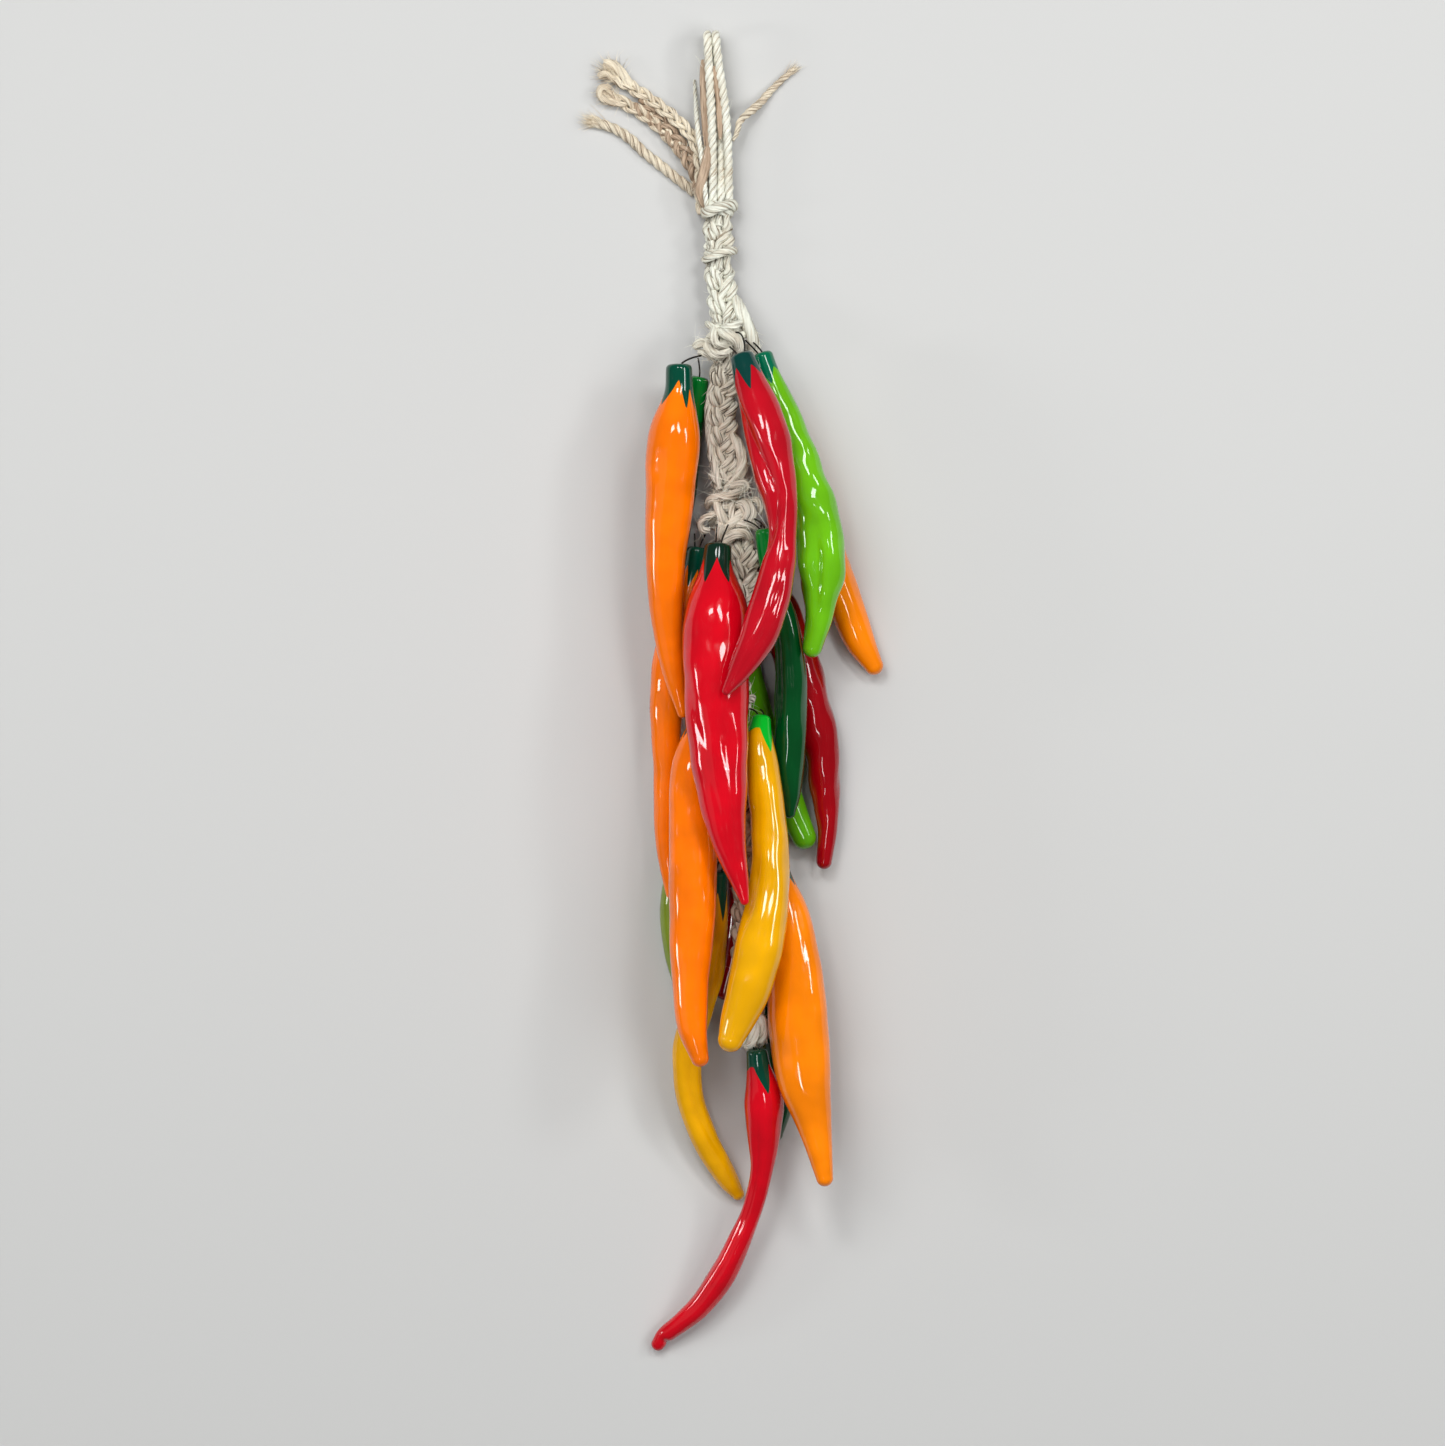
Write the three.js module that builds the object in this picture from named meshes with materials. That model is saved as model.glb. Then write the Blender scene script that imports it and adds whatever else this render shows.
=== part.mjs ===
// A hanging string of glazed ceramic chillies: eighteen stoneware peppers, each wired by its stem to a
// plaited sisal rope with seven knots, two hanging loops at its top and loose cord ends beside them.
// It lies on its back on a table. +X is to the right, +Y runs up the string to the hanging loops, +Z is
// up from the table, and the origin is on the table under the middle of the string. Millimetres.

import * as THREE from "three";

// ---- Driving dimensions -------------------------------------------------------------------------

const GAP = 0.4; // clearance between pieces that touch

const CHILLI_SIDES = 10; // flats round a chilli
const CHILLI_RINGS = 12; // rings along a chilli, from the end of its stem to the start of its round tip
const STEM_EDGE = 2; // bevel round the stem's flat top
const TIP_RINGS = [0.6, 1.1]; // rings on the round tip, as angles towards its pole
const FOOT = 0.15; // depth that is ground flat under a chilli where it meets the table
const STEEPEST = 0.18; // steepest slope at which a chilli lies
const SETTLE_STEPS = 60; // places along a chilli where its clearance is measured
const STRAND_PLACES = 400; // places along a strand of the rope that a chilli keeps clear of
const TURN_PLACES = 40; // the same in one turn of a knot

const STRAND_RADIUS = 1.9; // one of the rope's three strands
const STRAND_SIDES = 6;
const PLAIT_HALF_WIDTH = 5.3; // sideways swing of a strand's middle
const PLAIT_HALF_DEPTH = 3.4; // swing of a strand's middle towards and away from the table
const PLAIT_PITCH = 30; // length of rope in which a strand crosses over and back
const PLAIT_STEPS = 94; // rings along one strand
const PINCH = 0.54; // width of the plait inside a knot against its full width
const FLARE = 4; // rope beside a knot in which the plait gets back to its full width
const BUNDLE_RADIUS = 5.6; // the opening that a knot leaves for the three strands

const KNOT_SIDES = 6;
const KNOT_STEPS = 11; // rings in one turn of a knot
const KNOT_SPACING = 1.04; // distance between two turns of a knot against the thickness of its cord

const WIRE_RADIUS = 0.5;
const WIRE_SIDES = 5;
const WIRE_STEPS = 5;
const WIRE_REACH = 1.5; // how far a wire runs straight out of its stem before it bends
const CORD_SIDES = 7;
const CORD_STEP = 6; // length of cord between two rings

// ---- Glazes and fibres --------------------------------------------------------------------------

const glaze = (colour) => new THREE.MeshStandardMaterial({ color: colour, roughness: 0.12, metalness: 0 });
const ORANGE = glaze(0xff7a00);
const RED = glaze(0xd6001c);
const LIME = glaze(0x74c81e);
const DARK_GREEN = glaze(0x064a22);
const LEAF_GREEN = glaze(0x4a9a14);
const YELLOW = glaze(0xf4b400);
const SISAL = new THREE.MeshStandardMaterial({ color: 0xd8cdb2, roughness: 0.95, metalness: 0 });
const IRON_WIRE = new THREE.MeshStandardMaterial({ color: 0x1d1f1e, roughness: 0.5, metalness: 0.8 });

// ---- The rope's route and knots -----------------------------------------------------------------

// The middle of the rope, from the hanging loops down: x, y, z.
const ROPE_ROUTE = [
  [-20.5, 259, 9.6],
  [-20.5, 235, 10.4],
  [-18.5, 213, 11.5],
  [-16.5, 194, 13.4],
  [-19, 170, 13],
  [-18.5, 142, 13],
  [-15, 118, 15.5],
  [-9.5, 98, 20],
  [-8.5, 80, 24],
  [-12, 57, 25.5],
  [-13.5, 33, 25.5],
  [-10.5, 0, 25.5],
  [-7, -35, 25.5],
  [-8, -64, 25],
  [-7.5, -92, 23.5],
  [-4.5, -122, 21.5],
];

// Each knot is a cord wound round the rope: y of its middle, number of turns, thickness of the cord,
// how much wider than its opening it swings, and how far a turn rises from its left to its right.
const KNOTS = [
  { name: "knot_top", y: 255, turns: 2, cord: 3.4, bulge: 0, lean: 0.8 },
  { name: "knot_second", y: 235, turns: 2, cord: 3.6, bulge: 0, lean: -0.8 },
  { name: "knot_upper", y: 195, turns: 3, cord: 5.4, bulge: 2.6, lean: 1.6 },
  { name: "knot_middle", y: 118, turns: 3, cord: 5.6, bulge: 3, lean: -1.8 },
  { name: "knot_hidden", y: 33, turns: 2, cord: 3.8, bulge: 0, lean: 0.8 },
  { name: "knot_lower", y: -33, turns: 2, cord: 3.8, bulge: 0, lean: -0.8 },
  { name: "knot_end", y: -115, turns: 2, cord: 3.6, bulge: 0, lean: 0.8 },
];

// ---- The chillies -------------------------------------------------------------------------------

// Each chilli is a row of rings from the flat top of its stem to the middle of its round tip:
// x, y, radius. The order is the order of laying down, lowest first. knot names what it is wired to.
const CHILLIES_UNDER_ROPE = [
  {
    name: "chilli_orange_right",
    glaze: ORANGE,
    knot: "knot_upper",
    rings: [[-3.5, 176, 4.7], [-1.5, 168.5, 5.6], [3, 157.5, 9], [10.5, 140, 10.8], [20, 119, 10.3],
      [29, 98, 9.2], [36.5, 79, 8.1], [43, 62, 7], [49.5, 50.5, 4.3]],
  },
  {
    name: "chilli_green_back_left",
    glaze: DARK_GREEN,
    knot: "knot_upper",
    rings: [[-29.5, 179, 4.5], [-31.5, 170, 5.4], [-36, 154, 8.3], [-39, 127, 8.1], [-41.5, 100, 6.8],
      [-42.5, 77.5, 4.5], [-41, 62, 2.2]],
  },
  {
    name: "chilli_green_back_right",
    glaze: LEAF_GREEN,
    knot: "knot_middle",
    rings: [[-12, 80, 4.3], [-10.5, 71, 5], [-8.5, 50.5, 7.2], [-4, 29.5, 7.7], [3.5, 7, 7.7],
      [11, -11, 7], [18, -27, 5.6]],
  },
  {
    name: "chilli_red_right",
    glaze: RED,
    knot: "knot_middle",
    rings: [[-3.5, 101.5, 4], [-0.5, 93, 4.7], [6, 76.5, 9.5], [13, 56.5, 10.6], [20.5, 34, 10.3],
      [25.5, 14.5, 8.8], [27.5, -5.5, 7.2], [28.5, -23.5, 4.7], [27, -38, 3.6]],
  },
  {
    name: "chilli_green_left",
    glaze: DARK_GREEN,
    knot: "knot_hidden",
    rings: [[-29, -10, 4.3], [-30.5, -19, 5], [-35.5, -37, 7.7], [-39, -57.5, 8.3], [-38, -77.5, 7.7],
      [-34.5, -98, 5.4], [-31.5, -111.5, 2.7]],
  },
  {
    name: "chilli_red_back",
    glaze: RED,
    knot: "knot_hidden",
    rings: [[-11.5, -10, 4.3], [-11, -19, 4.8], [-10, -37, 6.4], [-10.5, -57, 6.4], [-13.5, -77.5, 5.6],
      [-18, -97, 3.8]],
  },
  {
    name: "chilli_green_back_low",
    glaze: DARK_GREEN,
    knot: "knot_lower",
    rings: [[2.5, -55, 4.3], [2.5, -64, 5], [3, -82, 7.2], [3, -104.5, 7.2], [4.5, -127, 7],
      [6, -148.5, 6.8], [4.5, -161, 4]],
  },
  {
    name: "chilli_orange_left",
    glaze: ORANGE,
    knot: "knot_middle",
    rings: [[-30.5, 102, 4.5], [-31.5, 93, 5.2], [-36.5, 74.5, 8.1], [-41.5, 53, 9], [-44, 30.5, 7.9],
      [-44, 5.5, 6.3], [-44.5, -17, 5.6], [-44, -35, 4.5], [-41.5, -52, 3.1]],
  },
];

const CHILLIES_OVER_ROPE = [
  {
    name: "chilli_green_right",
    glaze: DARK_GREEN,
    knot: "knot_middle",
    rings: [[-0.5, 110, 3.8], [0.5, 101.5, 3.8], [4, 86.5, 4.3], [9, 72, 5.6], [11.5, 55, 7],
      [12, 32.5, 7.7], [11, 10, 7.4], [11.5, -8, 5], [11.5, -16, 2.5]],
  },
  {
    name: "chilli_yellow_left",
    glaze: YELLOW,
    knot: "knot_lower",
    rings: [[-21, -44, 4.3], [-21.5, -53, 4.8], [-23, -68.5, 6.6], [-25, -86.5, 7.2], [-30, -104.5, 7.2],
      [-35, -125, 7], [-33, -146.5, 6.5], [-25.5, -166.5, 6.3], [-16.2, -182.2, 4.9], [-12, -188.4, 3]],
  },
  {
    name: "chilli_red_low",
    glaze: RED,
    knot: "knot_end",
    rings: [[-3.4, -124, 4.8], [-2.6, -130.5, 5.6], [-0.3, -144.5, 8.9], [-0.2, -158, 8.3],
      [-0.9, -176, 5.6], [-4.6, -192.5, 4.8], [-10.7, -208, 5.4], [-18.4, -223.7, 6.2],
      [-28.8, -238.5, 5.6], [-37.8, -246.8, 4.5], [-45.2, -252.6, 3.9], [-48, -256.4, 3.1]],
  },
  {
    name: "chilli_lime",
    glaze: LIME,
    knot: "knot_upper",
    rings: [[-0.5, 189.5, 4.5], [2.5, 180, 5.2], [9, 163, 7.4], [18, 136, 9.5], [24.5, 111.5, 11.2],
      [25.5, 90, 10.6], [24.5, 73, 6.5], [21.5, 58.5, 4.5]],
  },
  {
    name: "chilli_orange_front_left",
    glaze: ORANGE,
    knot: "knot_upper",
    rings: [[-38.5, 184, 5.9], [-38.5, 173.5, 6.5], [-40.5, 154, 11.9], [-42.5, 125, 11.2],
      [-44.5, 95.5, 9], [-43.5, 68.5, 7.2], [-40.5, 45.5, 4.7], [-37, 29, 2.2]],
  },
  {
    name: "chilli_orange_low_left",
    glaze: ORANGE,
    knot: "knot_hidden",
    rings: [[-27.5, 31.5, 4.7], [-29.5, 22.5, 5.4], [-32.5, 5.5, 9.5], [-33, -17, 10.3],
      [-32, -39.5, 11], [-32.5, -64, 10.6], [-33.5, -89, 8.8], [-32.5, -111.5, 6.8], [-29, -125.5, 4]],
  },
  {
    name: "chilli_orange_low_right",
    glaze: ORANGE,
    knot: "knot_lower",
    rings: [[5, -36, 4.5], [7, -45, 5.4], [11, -62, 9.5], [13.5, -84.5, 12.2], [15.5, -113.5, 13.7],
      [18, -136, 12.2], [22.5, -156.5, 7.9], [27, -180, 3.8]],
  },
  {
    name: "chilli_yellow_front",
    glaze: YELLOW,
    knot: "knot_hidden",
    rings: [[-1.5, 26, 4.3], [-2.2, 17, 6], [-0.4, 0, 7.9], [2.1, -23.5, 8.5], [2.4, -46, 9.2],
      [-0.8, -68.5, 11], [-5.4, -89, 10.7], [-11.6, -107, 8.2], [-15.2, -117, 5.8]],
  },
  {
    name: "chilli_red_center",
    glaze: RED,
    knot: "knot_middle",
    rings: [[-21, 103, 6.1], [-21.5, 94, 7.4], [-21.4, 77.5, 13.8], [-21.9, 55, 15.4], [-21.6, 26, 14.4],
      [-19.3, -5.5, 11.7], [-16, -29, 7.7], [-11, -47, 4], [-9, -55, 2]],
  },
  {
    name: "chilli_red_front_right",
    glaze: RED,
    knot: "knot_upper",
    rings: [[-10, 188.5, 5.4], [-7, 179, 7], [-1, 161, 9.9], [4.5, 136, 9.9], [8, 110, 6.5],
      [4.5, 87.5, 8.6], [-2.5, 64, 8.6], [-11.5, 47.5, 5.2], [-17, 39, 2.2]],
  },
];

// ---- Loops and loose cord ends ------------------------------------------------------------------

// Each cord starts where it leaves the rope or another cord: its diameter and the points of its route.
const CORDS = [
  {
    name: "cord_loop_right",
    diameter: 3.3,
    route: [[-16, 260.2, 11.5], [-16.1, 272, 12.6], [-16.4, 284, 13.4], [-17.2, 297, 14], [-18.6, 309, 14.5],
      [-20.3, 320, 14.9], [-21.4, 329, 15], [-21.7, 332.9, 13.7], [-21.9, 335.3, 10.4], [-21.9, 335.3, 6.3],
      [-21.7, 332.9, 3], [-21.4, 329, 1.7], [-20.7, 320, 1.9], [-20.1, 306, 3.6], [-19.8, 292, 7.6],
      [-19.6, 278, 10.8], [-19.6, 260.2, 11.9]],
  },
  {
    name: "cord_loop_left",
    diameter: 3.3,
    route: [[-23.2, 260.2, 12.6], [-23.2, 272, 13.4], [-23.4, 284, 14], [-23.8, 297, 14.4],
      [-24.4, 309, 14.6], [-25, 320, 14.9], [-25.4, 329, 15], [-25.6, 332.9, 13.7], [-25.7, 335.3, 10.4],
      [-25.7, 335.3, 6.3], [-25.6, 332.9, 3], [-25.4, 329, 1.7], [-25, 320, 1.7], [-24.5, 305, 1.8],
      [-24, 290, 1.8], [-23.6, 276, 1.9], [-22.8, 260.2, 3.2]],
  },
  {
    name: "cord_end_upper",
    diameter: 5.6,
    route: [[-28.3, 260.6, 9.4], [-28.4, 268, 9.5], [-28.8, 276, 9.4], [-30, 284, 8.8], [-33.4, 290.6, 7.9],
      [-39.8, 297.2, 6.5], [-46.8, 303, 4.9], [-54, 308.2, 3.5], [-62, 313.5, 2.95], [-69.5, 318.6, 2.95]],
  },
  {
    name: "cord_end_middle",
    diameter: 5.6,
    route: [[-28.6, 260.6, 3.1], [-29.2, 267, 2.95], [-32, 274.6, 2.95], [-37.8, 283.5, 2.95],
      [-44.6, 291.4, 2.95], [-51.4, 297.6, 2.95], [-58, 302, 2.95], [-64.5, 305.4, 2.95], [-71, 308.2, 2.95]],
  },
  {
    name: "cord_end_lower",
    diameter: 4,
    route: [[-35.2, 267.6, 2.15], [-38.8, 270.3, 2.15], [-43.3, 273.9, 2.15], [-49, 278.5, 2.15],
      [-54.7, 283, 2.15], [-60, 288.2, 2.15], [-65.9, 292.4, 2.15], [-71.5, 294.8, 2.15], [-78, 296.6, 2.15]],
  },
  {
    name: "cord_end_thin",
    diameter: 2.2,
    route: [[-26.3, 260.4, 14.6], [-27, 268, 14.4], [-27.9, 276, 14.2], [-28.9, 284, 13.6],
      [-29.9, 291, 12.2], [-30.5, 297.5, 9.4], [-30.9, 303.5, 6], [-31.3, 309.5, 3], [-31.7, 315.5, 1.3]],
  },
  {
    name: "cord_end_right",
    diameter: 3.2,
    route: [[-12.6, 290.5, 11.4], [-11, 296.2, 10], [-6.7, 300.6, 7], [-2, 304.8, 3.8], [2.6, 310.2, 1.9],
      [8, 315.6, 1.7], [13.7, 320.6, 1.7]],
  },
];

// ---- The rope -----------------------------------------------------------------------------------

const ropeMiddle = new THREE.CatmullRomCurve3(ROPE_ROUTE.map((point) => new THREE.Vector3(...point)));

// The rope's middle and its three directions at a height y; the route falls steadily in y.
function ropeAt(y) {
  let above = 0;
  let below = 1;
  while (below - above > 1e-6) {
    const half = (above + below) / 2;
    if (ropeMiddle.getPoint(half).y > y) above = half;
    else below = half;
  }
  const middle = ropeMiddle.getPoint(above);
  const along = ropeMiddle.getTangent(above);
  const across = new THREE.Vector3().crossVectors(new THREE.Vector3(0, 0, 1), along).normalize();
  const up = new THREE.Vector3().crossVectors(along, across).normalize();
  return { middle, along, across, up };
}

const knotPitch = (knot) => knot.cord * KNOT_SPACING;
const knotHalfLength = (knot) => (knot.turns * knotPitch(knot)) / 2 + Math.abs(knot.lean);

// The free stretches between two knots. The strands cross a whole number of sixths of a pitch in each,
// so that they lie in a tight triangle wherever a knot grips them.
function plaitStretches() {
  let crossingsBefore = 0;
  return KNOTS.slice(1).map((knot, index) => {
    const top = KNOTS[index].y - knotHalfLength(KNOTS[index]);
    const bottom = knot.y + knotHalfLength(knot);
    const free = top - bottom - 2 * FLARE;
    const crossings = Math.max(1, Math.round((6 * free) / PLAIT_PITCH));
    const stretch = { top, bottom, crossings, crossingsBefore };
    crossingsBefore += crossings;
    return stretch;
  });
}

const STRETCHES = plaitStretches();

// How far the plait has turned at y, as an angle, and its width there against its full width.
function plaitAt(y) {
  const sixth = Math.PI / 3;
  const stretch = STRETCHES.find((one) => y > one.bottom) ?? STRETCHES[STRETCHES.length - 1];
  const crossed = stretch.top - stretch.bottom - 2 * FLARE;
  const free = THREE.MathUtils.clamp((stretch.top - FLARE - y) / crossed, 0, 1);
  const clear = THREE.MathUtils.clamp(Math.min(stretch.top - y, y - stretch.bottom) / FLARE, 0, 1);
  return {
    turn: -Math.PI / 2 - sixth * (stretch.crossingsBefore + stretch.crossings * free),
    width: PINCH + (1 - PINCH) * clear,
  };
}

// The middle line of one strand, from inside the top knot to just below the end knot.
class StrandCurve extends THREE.Curve {
  constructor(number) {
    super();
    this.phase = (-number * 2 * Math.PI) / 3;
    this.top = KNOTS[0].y + knotHalfLength(KNOTS[0]) - 0.5;
    this.bottom = KNOTS[KNOTS.length - 1].y - knotHalfLength(KNOTS[KNOTS.length - 1]) - 1;
    this.arcLengthDivisions = 900;
  }

  getPoint(t, target = new THREE.Vector3()) {
    const y = this.top + (this.bottom - this.top) * t;
    const { middle, across, up } = ropeAt(y);
    const { turn, width } = plaitAt(y);
    const angle = turn + this.phase;
    return target
      .copy(middle)
      .addScaledVector(across, PLAIT_HALF_WIDTH * width * Math.sin(angle))
      .addScaledVector(up, PLAIT_HALF_DEPTH * Math.sin(2 * angle));
  }
}

// The middle line of a knot's cord, wound round the rope.
class KnotCurve extends THREE.Curve {
  constructor(knot) {
    super();
    this.knot = knot;
    this.rope = ropeAt(knot.y);
    this.halfDepth = BUNDLE_RADIUS + knot.cord / 2;
    this.halfWidth = this.halfDepth + knot.bulge;
  }

  getPoint(t, target = new THREE.Vector3()) {
    const { middle, along, across, up } = this.rope;
    const angle = 2 * Math.PI * this.knot.turns * t;
    const down = this.knot.turns * knotPitch(this.knot) * (t - 0.5) + this.knot.lean * Math.cos(angle);
    return target
      .copy(middle)
      .addScaledVector(across, this.halfWidth * Math.cos(angle))
      .addScaledVector(up, this.halfDepth * Math.sin(angle))
      .addScaledVector(along, down);
  }
}

// A round bar along a curve: a many-sided section extruded along the path, with flat ends.
function barAlong(curve, radius, sides, steps) {
  const section = new THREE.Shape();
  for (let corner = 0; corner < sides; corner += 1) {
    const angle = (2 * Math.PI * corner) / sides;
    const x = radius * Math.cos(angle);
    const y = radius * Math.sin(angle);
    if (corner === 0) section.moveTo(x, y);
    else section.lineTo(x, y);
  }
  section.closePath();
  return new THREE.ExtrudeGeometry(section, { steps, extrudePath: curve, bevelEnabled: false });
}

// ---- Laying the chillies down -------------------------------------------------------------------

// Balls that fill a bar along a curve, which the chillies laid over it keep clear of.
function ballsAlong(curve, radius, count) {
  return curve.getPoints(count).map((centre) => ({ centre, radius }));
}

// A chilli seen from above: places along its middle with their radius and distance from the stem.
function planOf(chilli, steps) {
  const curve = new THREE.CatmullRomCurve3(chilli.rings.map((ring) => new THREE.Vector3(...ring)));
  let distance = 0;
  let last = null;
  return curve.getPoints(steps).map(({ x, y, z: radius }) => {
    if (last) distance += Math.hypot(x - last.x, y - last.y);
    last = { x, y, radius, distance };
    return last;
  });
}

// The lowest height at which one place of a chilli clears the table and everything laid before it.
function restHeight(place, balls) {
  let height = place.radius * Math.cos(Math.PI / CHILLI_SIDES) - FOOT;
  for (const { centre, radius } of balls) {
    const reach = place.radius + radius + GAP;
    const aside = Math.hypot(place.x - centre.x, place.y - centre.y);
    if (aside < reach) height = Math.max(height, centre.z + Math.sqrt(reach * reach - aside * aside));
  }
  return height;
}

// A chilli is laid down as a straight stick that comes to rest on one support on either side of its
// centre of mass: its height there, and its slope along its length.
function settle(chilli, balls) {
  const places = planOf(chilli, SETTLE_STEPS).map((place) => {
    return { ...place, height: restHeight(place, balls) };
  });
  const weight = places.reduce((sum, { radius }) => sum + radius ** 2, 0);
  const centre = places.reduce((sum, { radius, distance }) => sum + radius ** 2 * distance, 0) / weight;
  let best = { height: -Infinity, slope: 0 };
  for (const near of places.filter(({ distance }) => distance < centre)) {
    for (const far of places.filter(({ distance }) => distance >= centre)) {
      const slope = (far.height - near.height) / (far.distance - near.distance);
      const height = near.height + slope * (centre - near.distance);
      if (height > best.height) best = { height, slope };
    }
  }
  const slope = THREE.MathUtils.clamp(best.slope, -STEEPEST, STEEPEST);
  const lift = Math.max(...places.map(({ height, distance }) => height - slope * (distance - centre)));
  return { start: lift - slope * centre, slope };
}

// The rings of a chilli that has been laid down, with the directions of each ring.
function ringsOf(chilli, { start, slope }) {
  const middles = planOf(chilli, CHILLI_RINGS).map(({ x, y, radius, distance }) => ({
    middle: new THREE.Vector3(x, y, start + slope * distance),
    radius,
  }));
  return middles.map(({ middle, radius }, index) => {
    const before = middles[Math.max(index - 1, 0)].middle;
    const after = middles[Math.min(index + 1, middles.length - 1)].middle;
    const along = new THREE.Vector3().subVectors(after, before).normalize();
    const side = new THREE.Vector3().crossVectors(along, new THREE.Vector3(0, 0, 1)).normalize();
    const up = new THREE.Vector3().crossVectors(side, along);
    return { middle, radius, along, side, up };
  });
}

// The same ring moved along its own direction, with another radius.
function shiftedRing(ring, distance, radius) {
  return { ...ring, middle: ring.middle.clone().addScaledVector(ring.along, distance), radius };
}

// A chilli's solid: a turned body bent along its middle, its stem cut flat and its tip round.
function chilliGeometry(rings) {
  const stem = rings[0];
  const tip = rings[rings.length - 1];
  const body = [
    shiftedRing(stem, -STEM_EDGE, 0),
    shiftedRing(stem, -STEM_EDGE, stem.radius - STEM_EDGE),
    ...rings,
    ...TIP_RINGS.map((angle) => shiftedRing(tip, tip.radius * Math.sin(angle), tip.radius * Math.cos(angle))),
    shiftedRing(tip, tip.radius, 0),
  ];
  const profile = body.map(({ radius }, index) => new THREE.Vector2(radius, index));
  const geometry = new THREE.LatheGeometry(profile, CHILLI_SIDES, Math.PI / CHILLI_SIDES);
  const position = geometry.getAttribute("position");
  for (let corner = 0; corner < position.count; corner += 1) {
    const { middle, side, up } = body[corner % body.length];
    const place = middle
      .clone()
      .addScaledVector(side, position.getX(corner))
      .addScaledVector(up, position.getZ(corner));
    position.setXYZ(corner, place.x, place.y, Math.max(place.z, 0));
  }
  geometry.computeVertexNormals();
  return geometry;
}

// ---- Wires --------------------------------------------------------------------------------------

// The point on the round outside of a knot that faces a place.
function knotFace(knotCurve, place) {
  const { knot, rope, halfWidth, halfDepth } = knotCurve;
  const reach = new THREE.Vector3().subVectors(place, rope.middle);
  const sideways = reach.dot(rope.across);
  const upwards = reach.dot(rope.up);
  const ring = Math.hypot(sideways / (halfWidth + knot.cord / 2), upwards / (halfDepth + knot.cord / 2));
  const clear = 1 / ring + (WIRE_RADIUS + 2 * GAP) / Math.hypot(sideways, upwards);
  const limit = knotHalfLength(knot) / 2;
  return rope.middle
    .clone()
    .addScaledVector(rope.across, sideways * clear)
    .addScaledVector(rope.up, upwards * clear)
    .addScaledVector(rope.along, THREE.MathUtils.clamp(reach.dot(rope.along), -limit, limit));
}

// A bent wire from the flat top of a stem to the knot that it hangs from.
function wireGeometry(stem, knotCurve) {
  const foot = stem.middle.clone().addScaledVector(stem.along, -STEM_EDGE - GAP);
  const bend = foot.clone().addScaledVector(stem.along, -WIRE_REACH);
  const end = knotFace(knotCurve, bend);
  const route = new THREE.QuadraticBezierCurve3(foot, bend, end);
  return barAlong(route, WIRE_RADIUS, WIRE_SIDES, WIRE_STEPS);
}

// ---- Building -----------------------------------------------------------------------------------

const string = new THREE.Group();

function add(name, geometry, material) {
  const mesh = new THREE.Mesh(geometry, material);
  mesh.name = name;
  string.add(mesh);
}

// Lays one chilli down on what is there already, adds it, and returns its rings.
function layChilli(chilli, balls) {
  const rest = settle(chilli, balls);
  for (const { x, y, radius, distance } of planOf(chilli, SETTLE_STEPS)) {
    balls.push({ centre: new THREE.Vector3(x, y, rest.start + rest.slope * distance), radius });
  }
  const rings = ringsOf(chilli, rest);
  add(chilli.name, chilliGeometry(rings), chilli.glaze);
  return rings;
}

function addRope(balls) {
  for (let number = 0; number < 3; number += 1) {
    const curve = new StrandCurve(number);
    add(`rope_strand_${number + 1}`, barAlong(curve, STRAND_RADIUS, STRAND_SIDES, PLAIT_STEPS), SISAL);
    balls.push(...ballsAlong(curve, STRAND_RADIUS, STRAND_PLACES));
  }
}

function addKnots(balls) {
  return Object.fromEntries(
    KNOTS.map((knot) => {
      const curve = new KnotCurve(knot);
      add(knot.name, barAlong(curve, knot.cord / 2, KNOT_SIDES, knot.turns * KNOT_STEPS), SISAL);
      balls.push(...ballsAlong(curve, knot.cord / 2, TURN_PLACES * knot.turns));
      return [knot.name, curve];
    }),
  );
}

function addCord({ name, diameter, route }) {
  const curve = new THREE.CatmullRomCurve3(route.map((point) => new THREE.Vector3(...point)));
  const steps = Math.round(curve.getLength() / CORD_STEP);
  add(name, barAlong(curve, diameter / 2, CORD_SIDES, steps), SISAL);
}

const laid = [];
const laidRings = {};
for (const chilli of CHILLIES_UNDER_ROPE) laidRings[chilli.name] = layChilli(chilli, laid);
addRope(laid);
const knotCurves = addKnots(laid);
for (const chilli of CHILLIES_OVER_ROPE) laidRings[chilli.name] = layChilli(chilli, laid);
for (const { name, knot } of [...CHILLIES_UNDER_ROPE, ...CHILLIES_OVER_ROPE]) {
  add(name.replace("chilli", "wire"), wireGeometry(laidRings[name][0], knotCurves[knot]), IRON_WIRE);
}
CORDS.forEach(addCord);

export default string;
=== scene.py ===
# %% [markdown]
# # A string of glazed ceramic chillies
# Eighteen stoneware chillies hang from a plaited sisal rope. Each has a high-gloss glaze and a painted
# green stem cap, and a loop of iron wire ties its stem to a knot of the rope. The string lies on its back
# on a table, as it does before it is hung, and the camera looks down on it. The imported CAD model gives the
# frame: every piece below is made in its place and stands for its solid.

import bpy
import numpy as np
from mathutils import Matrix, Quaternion, Vector


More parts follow.
